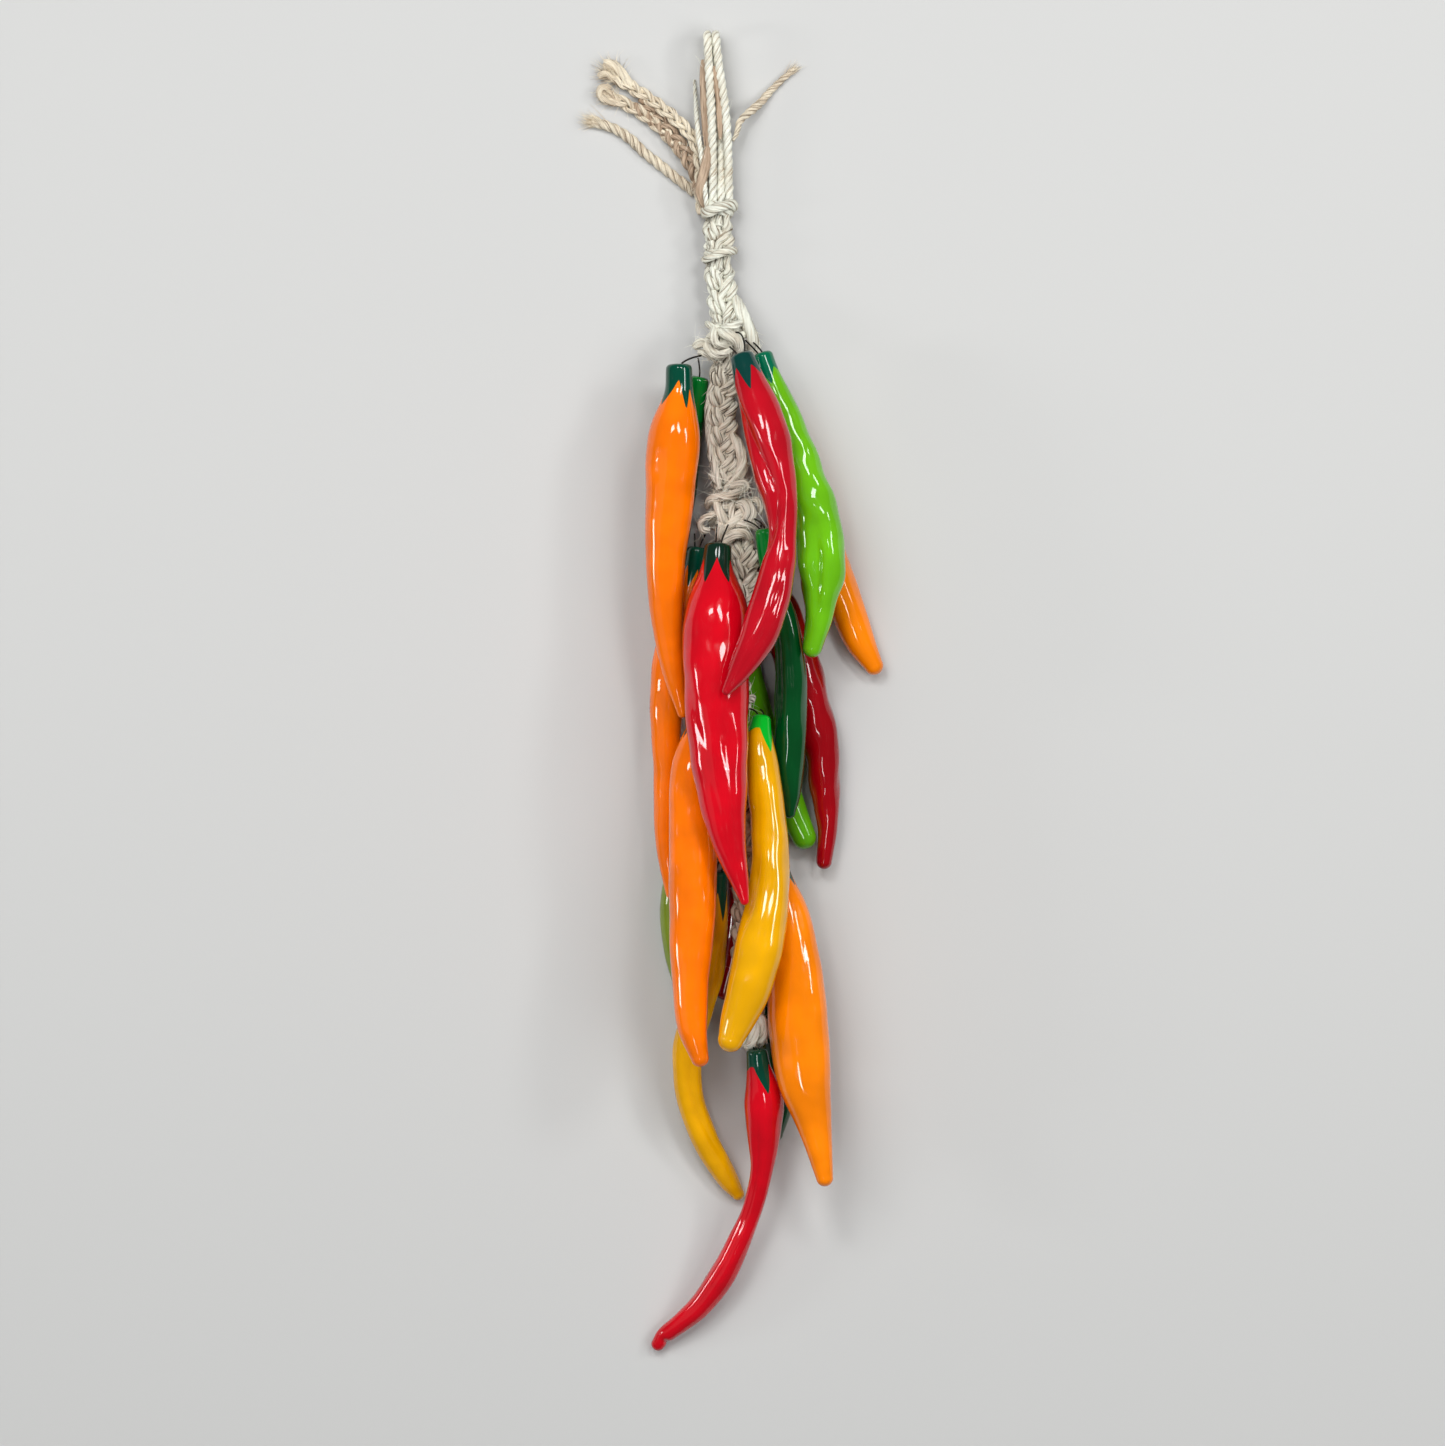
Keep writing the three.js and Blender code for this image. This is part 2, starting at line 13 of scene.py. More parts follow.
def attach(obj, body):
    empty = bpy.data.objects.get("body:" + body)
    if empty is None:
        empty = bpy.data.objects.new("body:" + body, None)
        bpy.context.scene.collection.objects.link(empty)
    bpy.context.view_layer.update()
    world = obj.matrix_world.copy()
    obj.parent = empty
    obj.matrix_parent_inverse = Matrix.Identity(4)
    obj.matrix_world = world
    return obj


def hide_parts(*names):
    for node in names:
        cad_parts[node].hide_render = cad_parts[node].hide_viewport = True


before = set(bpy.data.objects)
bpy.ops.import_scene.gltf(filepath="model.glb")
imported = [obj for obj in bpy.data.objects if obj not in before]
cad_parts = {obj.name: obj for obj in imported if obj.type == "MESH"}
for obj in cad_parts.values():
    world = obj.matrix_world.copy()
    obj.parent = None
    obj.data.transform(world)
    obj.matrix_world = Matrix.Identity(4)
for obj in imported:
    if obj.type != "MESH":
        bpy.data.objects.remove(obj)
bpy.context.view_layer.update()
MM = 0.001

# %% [markdown]
# ## Camera, floor and light
# The string is long and flat. A camera close above it would show the chillies on top larger than those
# below, so this one hangs five metres up with a long lens. The picture is 650 mm high on the plane halfway
# up the pile, and its middle is a little to the left of and above the middle of the string.

# %% The camera looks straight down
PICTURE_HEIGHT = 650.7 * MM
PICTURE_MIDDLE = (-18.9 * MM, 24.5 * MM)
HALF_PILE = 30 * MM
CAMERA_DISTANCE = 5.0
SENSOR = 36.0

camera_data = bpy.data.cameras.new("overhead_camera")
camera_data.sensor_width = SENSOR
camera_data.lens = SENSOR * CAMERA_DISTANCE / PICTURE_HEIGHT
camera = bpy.data.objects.new("overhead_camera", camera_data)
camera.location = (*PICTURE_MIDDLE, HALF_PILE + CAMERA_DISTANCE)
bpy.context.scene.collection.objects.link(camera)
bpy.context.scene.camera = camera
bpy.context.scene.view_settings.view_transform = "Standard"
print("lens in millimetres:", round(camera_data.lens, 1))

# %% [markdown]
# A glaze is a mirror, so what it reflects matters more than how bright the lamps are. Two large lamps light
# the colours evenly, and they are kept out of the reflections, where they would lie as a grey veil. The
# highlights come from small lamps: a slanting row of three above the string breaks each chilli's white
# streak into parts, and others at the left, below and at the right add counter-streaks. A large faint
# panel at the left edges the dark pieces with a soft sheen, and a faint sky fills the shadows. One big
# softbox would be simpler, but its single smooth streak looks like plastic.

# %% Soft studio lamps
def soft_lamp(name, place, size, power, tilt=0, mirrored=True):
    """A rectangular lamp at a place in metres, turned so that it faces the middle of the picture. A
    negative tilt, in degrees, lowers its right end. A lamp that isn't mirrored lights the pieces but
    doesn't show in their glaze."""
    data = bpy.data.lights.new(name, "AREA")
    data.shape = "RECTANGLE"
    data.size, data.size_y = size
    data.energy = power
    lamp = bpy.data.objects.new(name, data)
    lamp.location = place
    away = lamp.location - Vector((*PICTURE_MIDDLE, HALF_PILE))
    lamp.rotation_mode = "QUATERNION"
    lamp.rotation_quaternion = away.to_track_quat("Z", "Y") @ Quaternion((0, 0, 1), np.radians(tilt))
    lamp.visible_glossy = mirrored
    bpy.context.scene.collection.objects.link(lamp)
    return lamp


ROW_TILT = -9
soft_lamp("fill_lamp", (-0.9, 0.9, 2.2), (1.6, 1.6), 32, mirrored=False)
soft_lamp("right_fill_lamp", (1.3, -0.3, 1.9), (1.2, 1.2), 16, mirrored=False)
soft_lamp("key_lamp_left", (-0.35, 0.9, 1.5), (0.4, 0.24), 5.4, tilt=ROW_TILT)
soft_lamp("key_lamp_middle", (0.45, 0.78, 1.4), (0.5, 0.24), 6.2, tilt=ROW_TILT)
soft_lamp("key_lamp_right", (1.35, 0.62, 1.2), (0.4, 0.24), 4.6, tilt=ROW_TILT)
soft_lamp("window_lamp", (-1.4, 0.1, 0.6), (0.2, 0.26), 2.8)
soft_lamp("low_lamp", (-0.18, -0.45, 1.8), (0.12, 0.26), 1.7)
soft_lamp("counter_lamp", (1.1, 0.3, 1.0), (0.14, 0.12), 0.7)
soft_lamp("left_panel", (-1.5, -0.1, 1.3), (0.9, 1.5), 1)

sky = bpy.data.worlds.new("pale_sky")
sky.use_nodes = True
sky.node_tree.nodes["Background"].inputs["Color"].default_value = (0.9, 0.95, 1.0, 1.0)
sky.node_tree.nodes["Background"].inputs["Strength"].default_value = 0.1
bpy.context.scene.world = sky

# %% [markdown]
# ## A small language for materials
# A material is a net of nodes. It could be wired link by link, but then a short formula takes twenty lines.
# The class below wraps one socket, so that a sum or a product of two sockets is written as one, and one
# method adds any other node.

# %% Sockets that can be added and multiplied
class Value:
    """An output socket that takes part in sums: a + b, a - b, 1 - a and a * b add Math nodes."""

    def __init__(self, net, socket):
        self.net = net
        self.socket = socket

    def maths(self, operation, first, second):
        return self.net.node("ShaderNodeMath", {"operation": operation}, {0: first, 1: second})

    def __add__(self, other):
        return self.maths("ADD", self, other)

    def __radd__(self, other):
        return self.maths("ADD", other, self)

    def __sub__(self, other):
        return self.maths("SUBTRACT", self, other)

    def __rsub__(self, other):
        return self.maths("SUBTRACT", other, self)

    def __mul__(self, other):
        return self.maths("MULTIPLY", self, other)

    def __rmul__(self, other):
        return self.maths("MULTIPLY", other, self)

    def clamped(self, low, high):
        """0 where the value is below low, 1 above high, and a smooth step between them."""
        return self.net.node(
            "ShaderNodeMapRange",
            {"interpolation_type": "SMOOTHSTEP"},
            {"Value": self, "From Min": low, "From Max": high},
        )


class Net:
    """The nodes of one material, with its Principled shader ready to be fed."""

    def __init__(self, name, **uniform):
        self.material = bpy.data.materials.new(name)
        self.material.use_nodes = True
        self.tree = self.material.node_tree
        self.shader = self.tree.nodes["Principled BSDF"]
        for socket, number in uniform.items():
            self.shader.inputs[socket.replace("_", " ")].default_value = number

    def put(self, socket, given):
        """Links a Value to a socket, or sets a plain number, vector or colour on it."""
        if isinstance(given, Value):
            self.tree.links.new(given.socket, socket)
        else:
            socket.default_value = given

    def node(self, kind, settings=None, inputs=None, output=0):
        """Adds a node: its settings first, then the values or links of its sockets; gives one output."""
        made = self.tree.nodes.new(kind)
        for setting, choice in (settings or {}).items():
            setattr(made, setting, choice)
        for key, given in (inputs or {}).items():
            self.put(made.inputs[key], given)
        return Value(self, made.outputs[output])

    def attribute(self, name, output="Fac"):
        """A number, or with the output Vector a vector, that is stored at each vertex of the mesh."""
        return self.node("ShaderNodeAttribute", {"attribute_name": name}, output=output)

    def place(self):
        """Object coordinates, in metres."""
        return self.node("ShaderNodeTexCoord", output="Object")

    def stretched(self, where, scale):
        """Coordinates multiplied by a number along each axis."""
        return self.node("ShaderNodeMapping", {}, {"Vector": where, "Scale": scale})

    def noise(self, where, scale, detail=2.0):
        """Cloudy noise between 0 and 1 with a middle of 0.5."""
        return self.node("ShaderNodeTexNoise", {}, {"Vector": where, "Scale": scale, "Detail": detail})

    def mix(self, share, first, second):
        """A blend of two colours: the first where share is 0, the second where it is 1."""
        made = self.tree.nodes.new("ShaderNodeMix")
        made.data_type = "RGBA"
        self.put(made.inputs[0], share)
        self.put(made.inputs[6], first)
        self.put(made.inputs[7], second)
        return Value(self, made.outputs[2])

    def bump(self, height, depth):
        """Bends the surface normal as if the surface rose by height times depth, in metres."""
        normal = self.node("ShaderNodeBump", {}, {"Height": height, "Distance": depth})
        self.feed("Normal", normal)

    def feed(self, socket, given):
        """Feeds one socket of the Principled shader."""
        self.put(self.shader.inputs[socket], given)


print("a net starts with", len(Net("trial_net").tree.nodes), "nodes")
bpy.data.materials.remove(bpy.data.materials["trial_net"])

# %% [markdown]
# The table is one plain pale sheet. It is matt, so it takes soft shadows and mirrors nothing, and one
# square face is enough, because nothing on it needs a finer mesh.

# %% A plain pale floor
FLOOR_REACH = 3.0


def plain_floor():
    """A square of pale matt board at the height of the table, FLOOR_REACH metres out on every side."""
    mesh = bpy.data.meshes.new("plain_floor")
    sides = [(-1, -1), (1, -1), (1, 1), (-1, 1)]
    mesh.from_pydata([(FLOOR_REACH * x, FLOOR_REACH * y, 0) for x, y in sides], [], [(0, 1, 2, 3)])
    net = Net("pale_board", Roughness=0.9)
    net.feed("Base Color", (0.55, 0.55, 0.54, 1.0))
    mesh.materials.append(net.material)
    floor = bpy.data.objects.new("plain_floor", mesh)
    bpy.context.scene.collection.objects.link(floor)
    return floor


floor = plain_floor()
print(floor.name, "is", 2 * FLOOR_REACH, "metres wide")

# %% [markdown]
# ## The chillies' shapes
# A chilli is a round bar that swells, tapers and bends. It could be a curve with a bevel, drawn in the
# viewport, but then nothing ties it to its solid. A few rings, from the flat top of its stem to the middle
# of its round tip, are enough to say its shape: each has a place on the table and a radius. A smooth curve
# through those rings gives every ring between them. The CAD model uses the same rings, so that each glazed
# piece lies exactly where its solid does.

# %% A smooth curve through points
def distance_along(points):
    """How far each point is from the first one, measured from point to point."""
    steps = np.linalg.norm(np.diff(points, axis=0), axis=1)
    return np.concatenate([[0], np.cumsum(steps)])


def smooth_curve(points, steps):
    """Points on a Catmull-Rom curve: between two points it is the cubic whose slopes at both ends come
    from the neighbours, weighted by the square roots of the distances, so that it makes no loops."""
    points = np.asarray(points, float)
    chain = np.vstack([2 * points[0] - points[1], points, 2 * points[-1] - points[-2]])
    gap = np.sqrt(np.linalg.norm(np.diff(chain, axis=0), axis=1))[:, None]
    before, here, after = gap[:-2], gap[1:-1], gap[2:]
    p0, p1, p2, p3 = chain[:-3], chain[1:-2], chain[2:-1], chain[3:]
    leave = here * ((p1 - p0) / before - (p2 - p0) / (before + here) + (p2 - p1) / here)
    arrive = here * ((p2 - p1) / here - (p3 - p1) / (here + after) + (p3 - p2) / after)
    place = np.linspace(0, len(points) - 1, steps)
    span = np.minimum(place.astype(int), len(points) - 2)
    t = (place - span)[:, None]
    return (
        (2 * t**3 - 3 * t**2 + 1) * p1[span]
        + (t**3 - 2 * t**2 + t) * leave[span]
        + (3 * t**2 - 2 * t**3) * p2[span]
        + (t**3 - t**2) * arrive[span]
    )


print("a bend of three points:", smooth_curve([(0, 0), (1, 1), (2, 0)], 5).round(2).tolist())

# %% [markdown]
# The eighteen chillies follow, roughly from the bottom of the pile to its top. Each could be pulled into
# shape by hand from a cylinder, but a table is shorter, and one number in it moves or thickens a piece. It
# says the glaze, the paint of the stem cap, and the rings from stem to tip: x and y of the middle, and the
# radius, in millimetres.

# %% Eighteen chillies
CHILLIES = {
    "orange_right": {
        "glaze": "amber",
        "cap": "blackish",
        "rings": [(-3.5, 176, 4.7), (-1.5, 168.5, 5.6), (3, 157.5, 9), (10.5, 140, 10.8),
            (20, 119, 10.3), (29, 98, 9.2), (36.5, 79, 8.1), (43, 62, 7), (49.5, 50.5, 4.3)],
    },
    "green_back_left": {
        "glaze": "dark_green",
        "cap": "mid_green",
        "rings": [(-29.5, 179, 4.5), (-31.5, 170, 5.4), (-36, 154, 8.3), (-39, 127, 8.1),
            (-41.5, 100, 6.8), (-42.5, 77.5, 4.5), (-41, 62, 2.2)],
    },
    "green_back_right": {
        "glaze": "leaf_green",
        "cap": "mid_green",
        "rings": [(-12, 80, 4.3), (-10.5, 71, 5), (-8.5, 50.5, 7.2), (-4, 29.5, 7.7), (3.5, 7, 7.7),
            (11, -11, 7), (18, -27, 5.6)],
    },
    "red_right": {
        "glaze": "dark_red",
        "cap": "blackish",
        "rings": [(-3.5, 101.5, 4), (-0.5, 93, 4.7), (6, 76.5, 9.5), (13, 56.5, 10.6),
            (20.5, 34, 10.3), (25.5, 14.5, 8.8), (27.5, -5.5, 7.2), (28.5, -23.5, 4.7), (27, -38, 3.6)],
    },
    "green_left": {
        "glaze": "sage_green",
        "cap": "mid_green",
        "rings": [(-29, -10, 4.3), (-30.5, -19, 5), (-35.5, -37, 7.7), (-39, -57.5, 8.3),
            (-38, -77.5, 7.7), (-34.5, -98, 5.4), (-31.5, -111.5, 2.7)],
    },
    "red_back": {
        "glaze": "dark_red",
        "cap": "blackish",
        "rings": [(-11.5, -10, 4.3), (-11, -19, 4.8), (-10, -37, 6.4), (-10.5, -57, 6.4),
            (-13.5, -77.5, 5.6), (-18, -97, 3.8)],
    },
    "green_back_low": {
        "glaze": "dark_green",
        "cap": "mid_green",
        "rings": [(2.5, -55, 4.3), (2.5, -64, 5), (3, -82, 7.2), (3, -104.5, 7.2), (4.5, -127, 7),
            (6, -148.5, 6.8), (4.5, -161, 4)],
    },
    "orange_left": {
        "glaze": "orange",
        "cap": "deep_green",
        "rings": [(-30.5, 102, 4.5), (-31.5, 93, 5.2), (-36.5, 74.5, 8.1), (-41.5, 53, 9),
            (-44, 30.5, 7.9), (-44, 5.5, 6.3), (-44.5, -17, 5.6), (-44, -35, 4.5), (-41.5, -52, 3.1)],
    },
    "green_right": {
        "glaze": "dark_green",
        "cap": "mid_green",
        "rings": [(-0.5, 110, 3.8), (0.5, 101.5, 3.8), (4, 86.5, 4.3), (9, 72, 5.6), (11.5, 55, 7),
            (12, 32.5, 7.7), (11, 10, 7.4), (11.5, -8, 5), (11.5, -16, 2.5)],
    },
    "yellow_left": {
        "glaze": "yellow",
        "cap": "deep_green",
        "rings": [(-21, -44, 4.3), (-21.5, -53, 4.8), (-23, -68.5, 6.6), (-25, -86.5, 7.2),
            (-30, -104.5, 7.2), (-35, -125, 7), (-33, -146.5, 6.5), (-25.5, -166.5, 6.3),
            (-16.2, -182.2, 4.9), (-12, -188.4, 3)],
    },
    "red_low": {
        "glaze": "red",
        "cap": "deep_green",
        "rings": [(-3.4, -124, 4.8), (-2.6, -130.5, 5.6), (-0.3, -144.5, 8.9), (-0.2, -158, 8.3),
            (-0.9, -176, 5.6), (-4.6, -192.5, 4.8), (-10.7, -208, 5.4), (-18.4, -223.7, 6.2),
            (-28.8, -238.5, 5.6), (-37.8, -246.8, 4.5), (-45.2, -252.6, 3.9), (-48, -256.4, 3.1)],
    },
    "lime": {
        "glaze": "lime",
        "cap": "teal",
        "rings": [(-0.5, 189.5, 4.5), (2.5, 180, 5.2), (9, 163, 7.4), (18, 136, 9.5),
            (24.5, 111.5, 11.2), (25.5, 90, 10.6), (24.5, 73, 6.5), (21.5, 58.5, 4.5)],
    },
    "orange_front_left": {
        "glaze": "orange",
        "cap": "deep_green",
        "rings": [(-38.5, 184, 5.9), (-38.5, 173.5, 6.5), (-40.5, 154, 11.9), (-42.5, 125, 11.2),
            (-44.5, 95.5, 9), (-43.5, 68.5, 7.2), (-40.5, 45.5, 4.7), (-37, 29, 2.2)],
    },
    "orange_low_left": {
        "glaze": "orange",
        "cap": "blackish",
        "rings": [(-27.5, 31.5, 4.7), (-29.5, 22.5, 5.4), (-32.5, 5.5, 9.5), (-33, -17, 10.3),
            (-32, -39.5, 11), (-32.5, -64, 10.6), (-33.5, -89, 8.8), (-32.5, -111.5, 6.8),
            (-29, -125.5, 4)],
    },
    "orange_low_right": {
        "glaze": "amber",
        "cap": "deep_green",
        "rings": [(5, -36, 4.5), (7, -45, 5.4), (11, -62, 9.5), (13.5, -84.5, 12.2),
            (15.5, -113.5, 13.7), (18, -136, 12.2), (22.5, -156.5, 7.9), (27, -180, 3.8)],
    },
    "yellow_front": {
        "glaze": "yellow",
        "cap": "bright_green",
        "rings": [(-1.5, 26, 4.3), (-2.2, 17, 6), (-0.4, 0, 7.9), (2.1, -23.5, 8.5), (2.4, -46, 9.2),
            (-0.8, -68.5, 11), (-5.4, -89, 10.7), (-11.6, -107, 8.2), (-15.2, -117, 5.8)],
    },
    "red_center": {
        "glaze": "red",
        "cap": "blackish",
        "rings": [(-21, 103, 6.1), (-21.5, 94, 7.4), (-21.4, 77.5, 13.8), (-21.9, 55, 15.4),
            (-21.6, 26, 14.4), (-19.3, -5.5, 11.7), (-16, -29, 7.7), (-11, -47, 4), (-9, -55, 2)],
    },
    "red_front_right": {
        "glaze": "crimson",
        "cap": "deep_teal",
        "rings": [(-10, 188.5, 5.4), (-7, 179, 7), (-1, 161, 9.9), (4.5, 136, 9.9), (8, 110, 6.5),
            (4.5, 87.5, 8.6), (-2.5, 64, 8.6), (-11.5, 47.5, 5.2), (-17, 39, 2.2)],
    },
}
lowest = min(ring[1] for chilli in CHILLIES.values() for ring in chilli["rings"])
print(len(CHILLIES), "chillies; the lowest ring is at y =", lowest, "mm")

# %% [markdown]
# ## Laying the glazed pieces on their solids
# The rings say where a chilli is as seen from above. How high it lies, and how steeply, is in the packed
# solid. The two numbers could be copied into the table, but read from the solid they can't differ from it.
# Its middle is a straight stick, so a straight line fitted through the heights of its corners gives both.

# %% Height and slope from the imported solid
def node_points(node):
    """The corners of a CAD node, in millimetres."""
    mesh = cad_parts[node].data
    points = np.empty(len(mesh.vertices) * 3)
    mesh.vertices.foreach_get("co", points)
    return np.unique(points.reshape(-1, 3).round(6), axis=0) / MM


def lying_line(rings, node):
    """The height of a chilli's middle at its stem, and its rise per millimetre along the table: the
    straight line of least squares through the heights of the solid's corners."""
    plan = smooth_curve(rings, 120)[:, :2]
    distance = distance_along(plan)
    points = node_points(node)
    nearest = np.linalg.norm(points[:, None, :2] - plan[None], axis=2).argmin(axis=1)
    slope, start = np.polyfit(distance[nearest], points[:, 2], 1)
    return start, slope


for name in ("red_center", "red_low"):
    height, slope = lying_line(CHILLIES[name]["rings"], "chilli_" + name)
    print(name, "has its stem at", round(height, 1), "mm and rises by", round(slope, 3))

# %% [markdown]
# A skin is a grid of points: rows along the piece, columns round it. Each row closes on itself, and a
# single point closes each end, so the skin is watertight and its faces all look outwards. Blender can skin
# such rows with its own tools, but they work on a selection in edit mode. Arrays of corners are as short,
# and the same function makes every chilli, cord, knot and wire.

# %% From a grid of points to a closed skin
def closed_skin(name, rows, start, end, numbers=None):
    """A mesh from rows of points, each row closed round the piece, with one point at each end. numbers
    holds arrays for each vertex, rows by columns, which the materials read; the ends take the mean of
    the nearest row."""
    count, sides = rows.shape[:2]
    points = np.vstack([[start], rows.reshape(-1, 3), [end]]) * MM
    index = 1 + np.arange(count * sides).reshape(count, sides)
    onward = np.roll(index, -1, axis=1)
    quads = np.stack([index[:-1], onward[:-1], onward[1:], index[1:]], axis=-1).reshape(-1, 4)
    first = np.stack([np.zeros(sides, int), onward[0], index[0]], axis=-1)
    last = np.stack([np.full(sides, points.shape[0] - 1), index[-1], onward[-1]], axis=-1)
    mesh = bpy.data.meshes.new(name)
    mesh.from_pydata(points.tolist(), [], quads.tolist() + first.tolist() + last.tolist())
    mesh.polygons.foreach_set("use_smooth", np.ones(len(mesh.polygons), bool))
    for label, array in (numbers or {}).items():
        array = np.asarray(array, float).reshape(count, sides, -1)
        ends = array[[0, -1]].mean(axis=1)
        flat = np.vstack([ends[:1], array.reshape(count * sides, -1), ends[1:]])
        kind, key = ("FLOAT", "value") if flat.shape[1] == 1 else ("FLOAT_VECTOR", "vector")
        mesh.attributes.new(label, kind, "POINT").data.foreach_set(key, flat.ravel())
    piece = bpy.data.objects.new(name, mesh)
    bpy.context.scene.collection.objects.link(piece)
    return piece


def finished(piece, material, node=None):
    """The piece takes a material and rides on the string's one body. Where a CAD node is named, it stands
    for that node."""
    piece.data.materials.append(material)
    if node:
        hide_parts(node)
    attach(piece, "root")
    return piece


print("nodes to stand for:", len(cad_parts))

# %% [markdown]
# Hand-modelled clay is never a perfect turned shape: it keeps soft furrows that wander along it and the
# shallow hollows of the fingers that smoothed it. They matter here, because in a mirror glaze the smallest
# hollow bends and breaks the highlight. They could be sculpted or painted as a bump map. As a function of
# the place on the skin they are real relief, so the outline and the shadows show them too. The relief cuts
# inwards, so a piece hardly grows into its neighbour.

# %% Relief of hand-modelled clay
SIDES = 72
ROWS = 190
WAVES = 10
FURROW_DEPTH = 0.05
WAVE_DEPTH = 0.013
END_DEPTH = 0.005
CREASE_FADE = 14


def degrees_from(angle, turn):
    """How far an angle in radians is past a turn in degrees, between -180 and 180 degrees."""
    return (np.degrees(angle) - turn + 180) % 360 - 180


def clay_relief(distance, angle, length, waviness, seed):
    """How much of the radius is cut away, about 0 to 0.15: three wandering furrows, each the square of a
    raised cosine round the chilli, plus crossed waves of random length, tilt and phase. Near the stem and
    the tip the furrows fade and only shallow waves are left."""
    draw = np.random.default_rng(seed)
    along = distance / length
    wander = draw.uniform(0, 2 * np.pi) + draw.uniform(-1.6, 1.6) * along
    wander = wander + 0.35 * np.sin(2 * np.pi * draw.uniform(1.0, 1.8) * along + draw.uniform(0, 6.3))
    furrow = (0.5 + 0.5 * np.cos(3 * (angle - wander))) ** 2
    body = np.clip((along - 0.08) / 0.2, 0, 1) * np.clip((1.02 - along) / 0.2, 0, 1)
    waves = np.zeros_like(furrow)
    for _ in range(WAVES):
        ripple = 2 * np.pi * distance / draw.uniform(16, 44)
        around = draw.integers(-3, 4) * angle
        waves = waves + draw.uniform(0.3, 1.0) * np.sin(ripple + around + draw.uniform(0, 6.3))
    waves = waviness * (waves + 3.5)
    return body * (FURROW_DEPTH * furrow + WAVE_DEPTH * waves) + (1 - body) * END_DEPTH * waves


def dents(distance, angle, places):
    """Single hollows: each is a bell in the distance along and the angle round the chilli, given as
    distance, angle in degrees, share of the radius, half length in mm and half width in degrees."""
    cut = np.zeros(np.broadcast(distance, angle).shape)
    for middle, turn, share, half_length, half_width in places:
        across = degrees_from(angle, turn)
        cut = cut + share * np.exp(-((distance - middle) / half_length) ** 2 - (across / half_width) ** 2)
    return cut


def creases(distance, angle, lines):
    """Sharp valleys: each follows a line of distance and angle in degrees, and its sides fall straight to
    that line. It has a share of the radius, a half width in degrees and a soft start and finish."""
    cut = np.zeros(np.broadcast(distance, angle).shape)
    for places, share, half_width in lines:
        reached, turned = np.array(places, float).T
        across = degrees_from(angle, np.interp(distance, reached, turned))
        begun = np.clip((distance - reached[0]) / CREASE_FADE, 0, 1)
        fade = begun * np.clip((reached[-1] - distance) / CREASE_FADE, 0, 1)
        cut = cut + share * fade * np.clip(1 - np.abs(across) / half_width, 0, 1) ** 1.3
    return cut


trial_run, trial_angle = np.linspace(0, 150, ROWS)[:, None], np.linspace(0, 2 * np.pi, SIDES)[None, :]
trial = clay_relief(trial_run, trial_angle, 150, 1.0, 1)
print("a trial relief cuts from", round(trial.min(), 3), "to", round(trial.max(), 3), "of the radius")

# %% [markdown]
# Each stem has a green cap that ends in a ring of painted points, like the calyx of a real chilli.
# The points could be a picture laid on the skin, but then it needs an unwrapped mesh and blurs when seen
# close. A number at each vertex is enough: how far the paint still reaches there. The points of the caps
# that show are listed one by one, and the others share a cap of six.

# %% Painted stem caps: the shortest length, then angle, length and half width of each point
SHORTEST = 5.0
SIX_POINTS = [(0, 15, 36), (60, 16, 34), (118, 14, 34), (178, 16, 34), (-62, 15, 34), (-120, 16, 34)]
CAPS = {
    "orange_front_left": (5.0, [(60, 17.5, 62), (-28, 19, 30), (-66, 18.5, 26), (125, 17, 36),
        (180, 18, 36), (-122, 17, 36)]),
    "orange_left": (6.0, [(12, 17.5, 34), (-40, 16, 34), (75, 15, 34), (135, 17, 34), (-100, 15, 34),
        (-160, 17, 34)]),
    "red_center": (4.5, [(31, 17, 33), (-31, 17.5, 33), (86, 14, 28), (-86, 14, 28), (146, 16, 36),
        (-146, 16, 36)]),
    "red_front_right": (4.5, [(6, 16.5, 34), (78, 12.5, 36), (-58, 10, 34), (-118, 15, 34),
        (-178, 15, 34), (128, 14, 34)]),
    "lime": (5.0, [(2, 13.5, 46), (-68, 8, 40), (80, 12, 40), (140, 14, 34), (-130, 13, 34)]),
    "yellow_front": (4.5, [(-42, 16.5, 44), (60, 6.5, 40), (-110, 9, 40), (150, 12, 40)]),
    "yellow_left": (5.5, [(22, 13, 36), (-40, 20, 40), (90, 14, 34), (150, 16, 34), (-110, 15, 34)]),
    "red_low": (5.0, [(-16, 18, 42), (80, 8, 40), (-100, 11, 40), (150, 14, 40)]),
    "green_back_left": (17.0, [(0, 21, 60), (120, 21, 60), (-120, 21, 60)]),
    "green_right": (15.0, [(0, 20, 60), (120, 20, 60), (-120, 20, 60)]),
}


def cap_edge(name, angle):
    """The painted length at each angle: the longest of the points, each falling to its sides."""
    shortest, points = CAPS.get(name, (SHORTEST, SIX_POINTS))
    edge = np.full_like(angle, shortest)
    for turn, length, half_width in points:
        away = np.abs(degrees_from(angle, turn)) / half_width
        edge = np.maximum(edge, shortest + (length - shortest) * np.clip(1 - away, 0, 1) ** 1.15)
    return edge


print("longest painted point:", max(length for _, points in CAPS.values() for _, length, _ in points), "mm")

# %% [markdown]
# Some chillies have a mark of their own: a waist, a twisted valley, a nick before the tip. Random waves
# never put one in the right place, and sculpting would fix the mesh for good. So each mark is listed with
# its place on the skin, for the functions of dents and creases above, and so is how wavy each clay is.

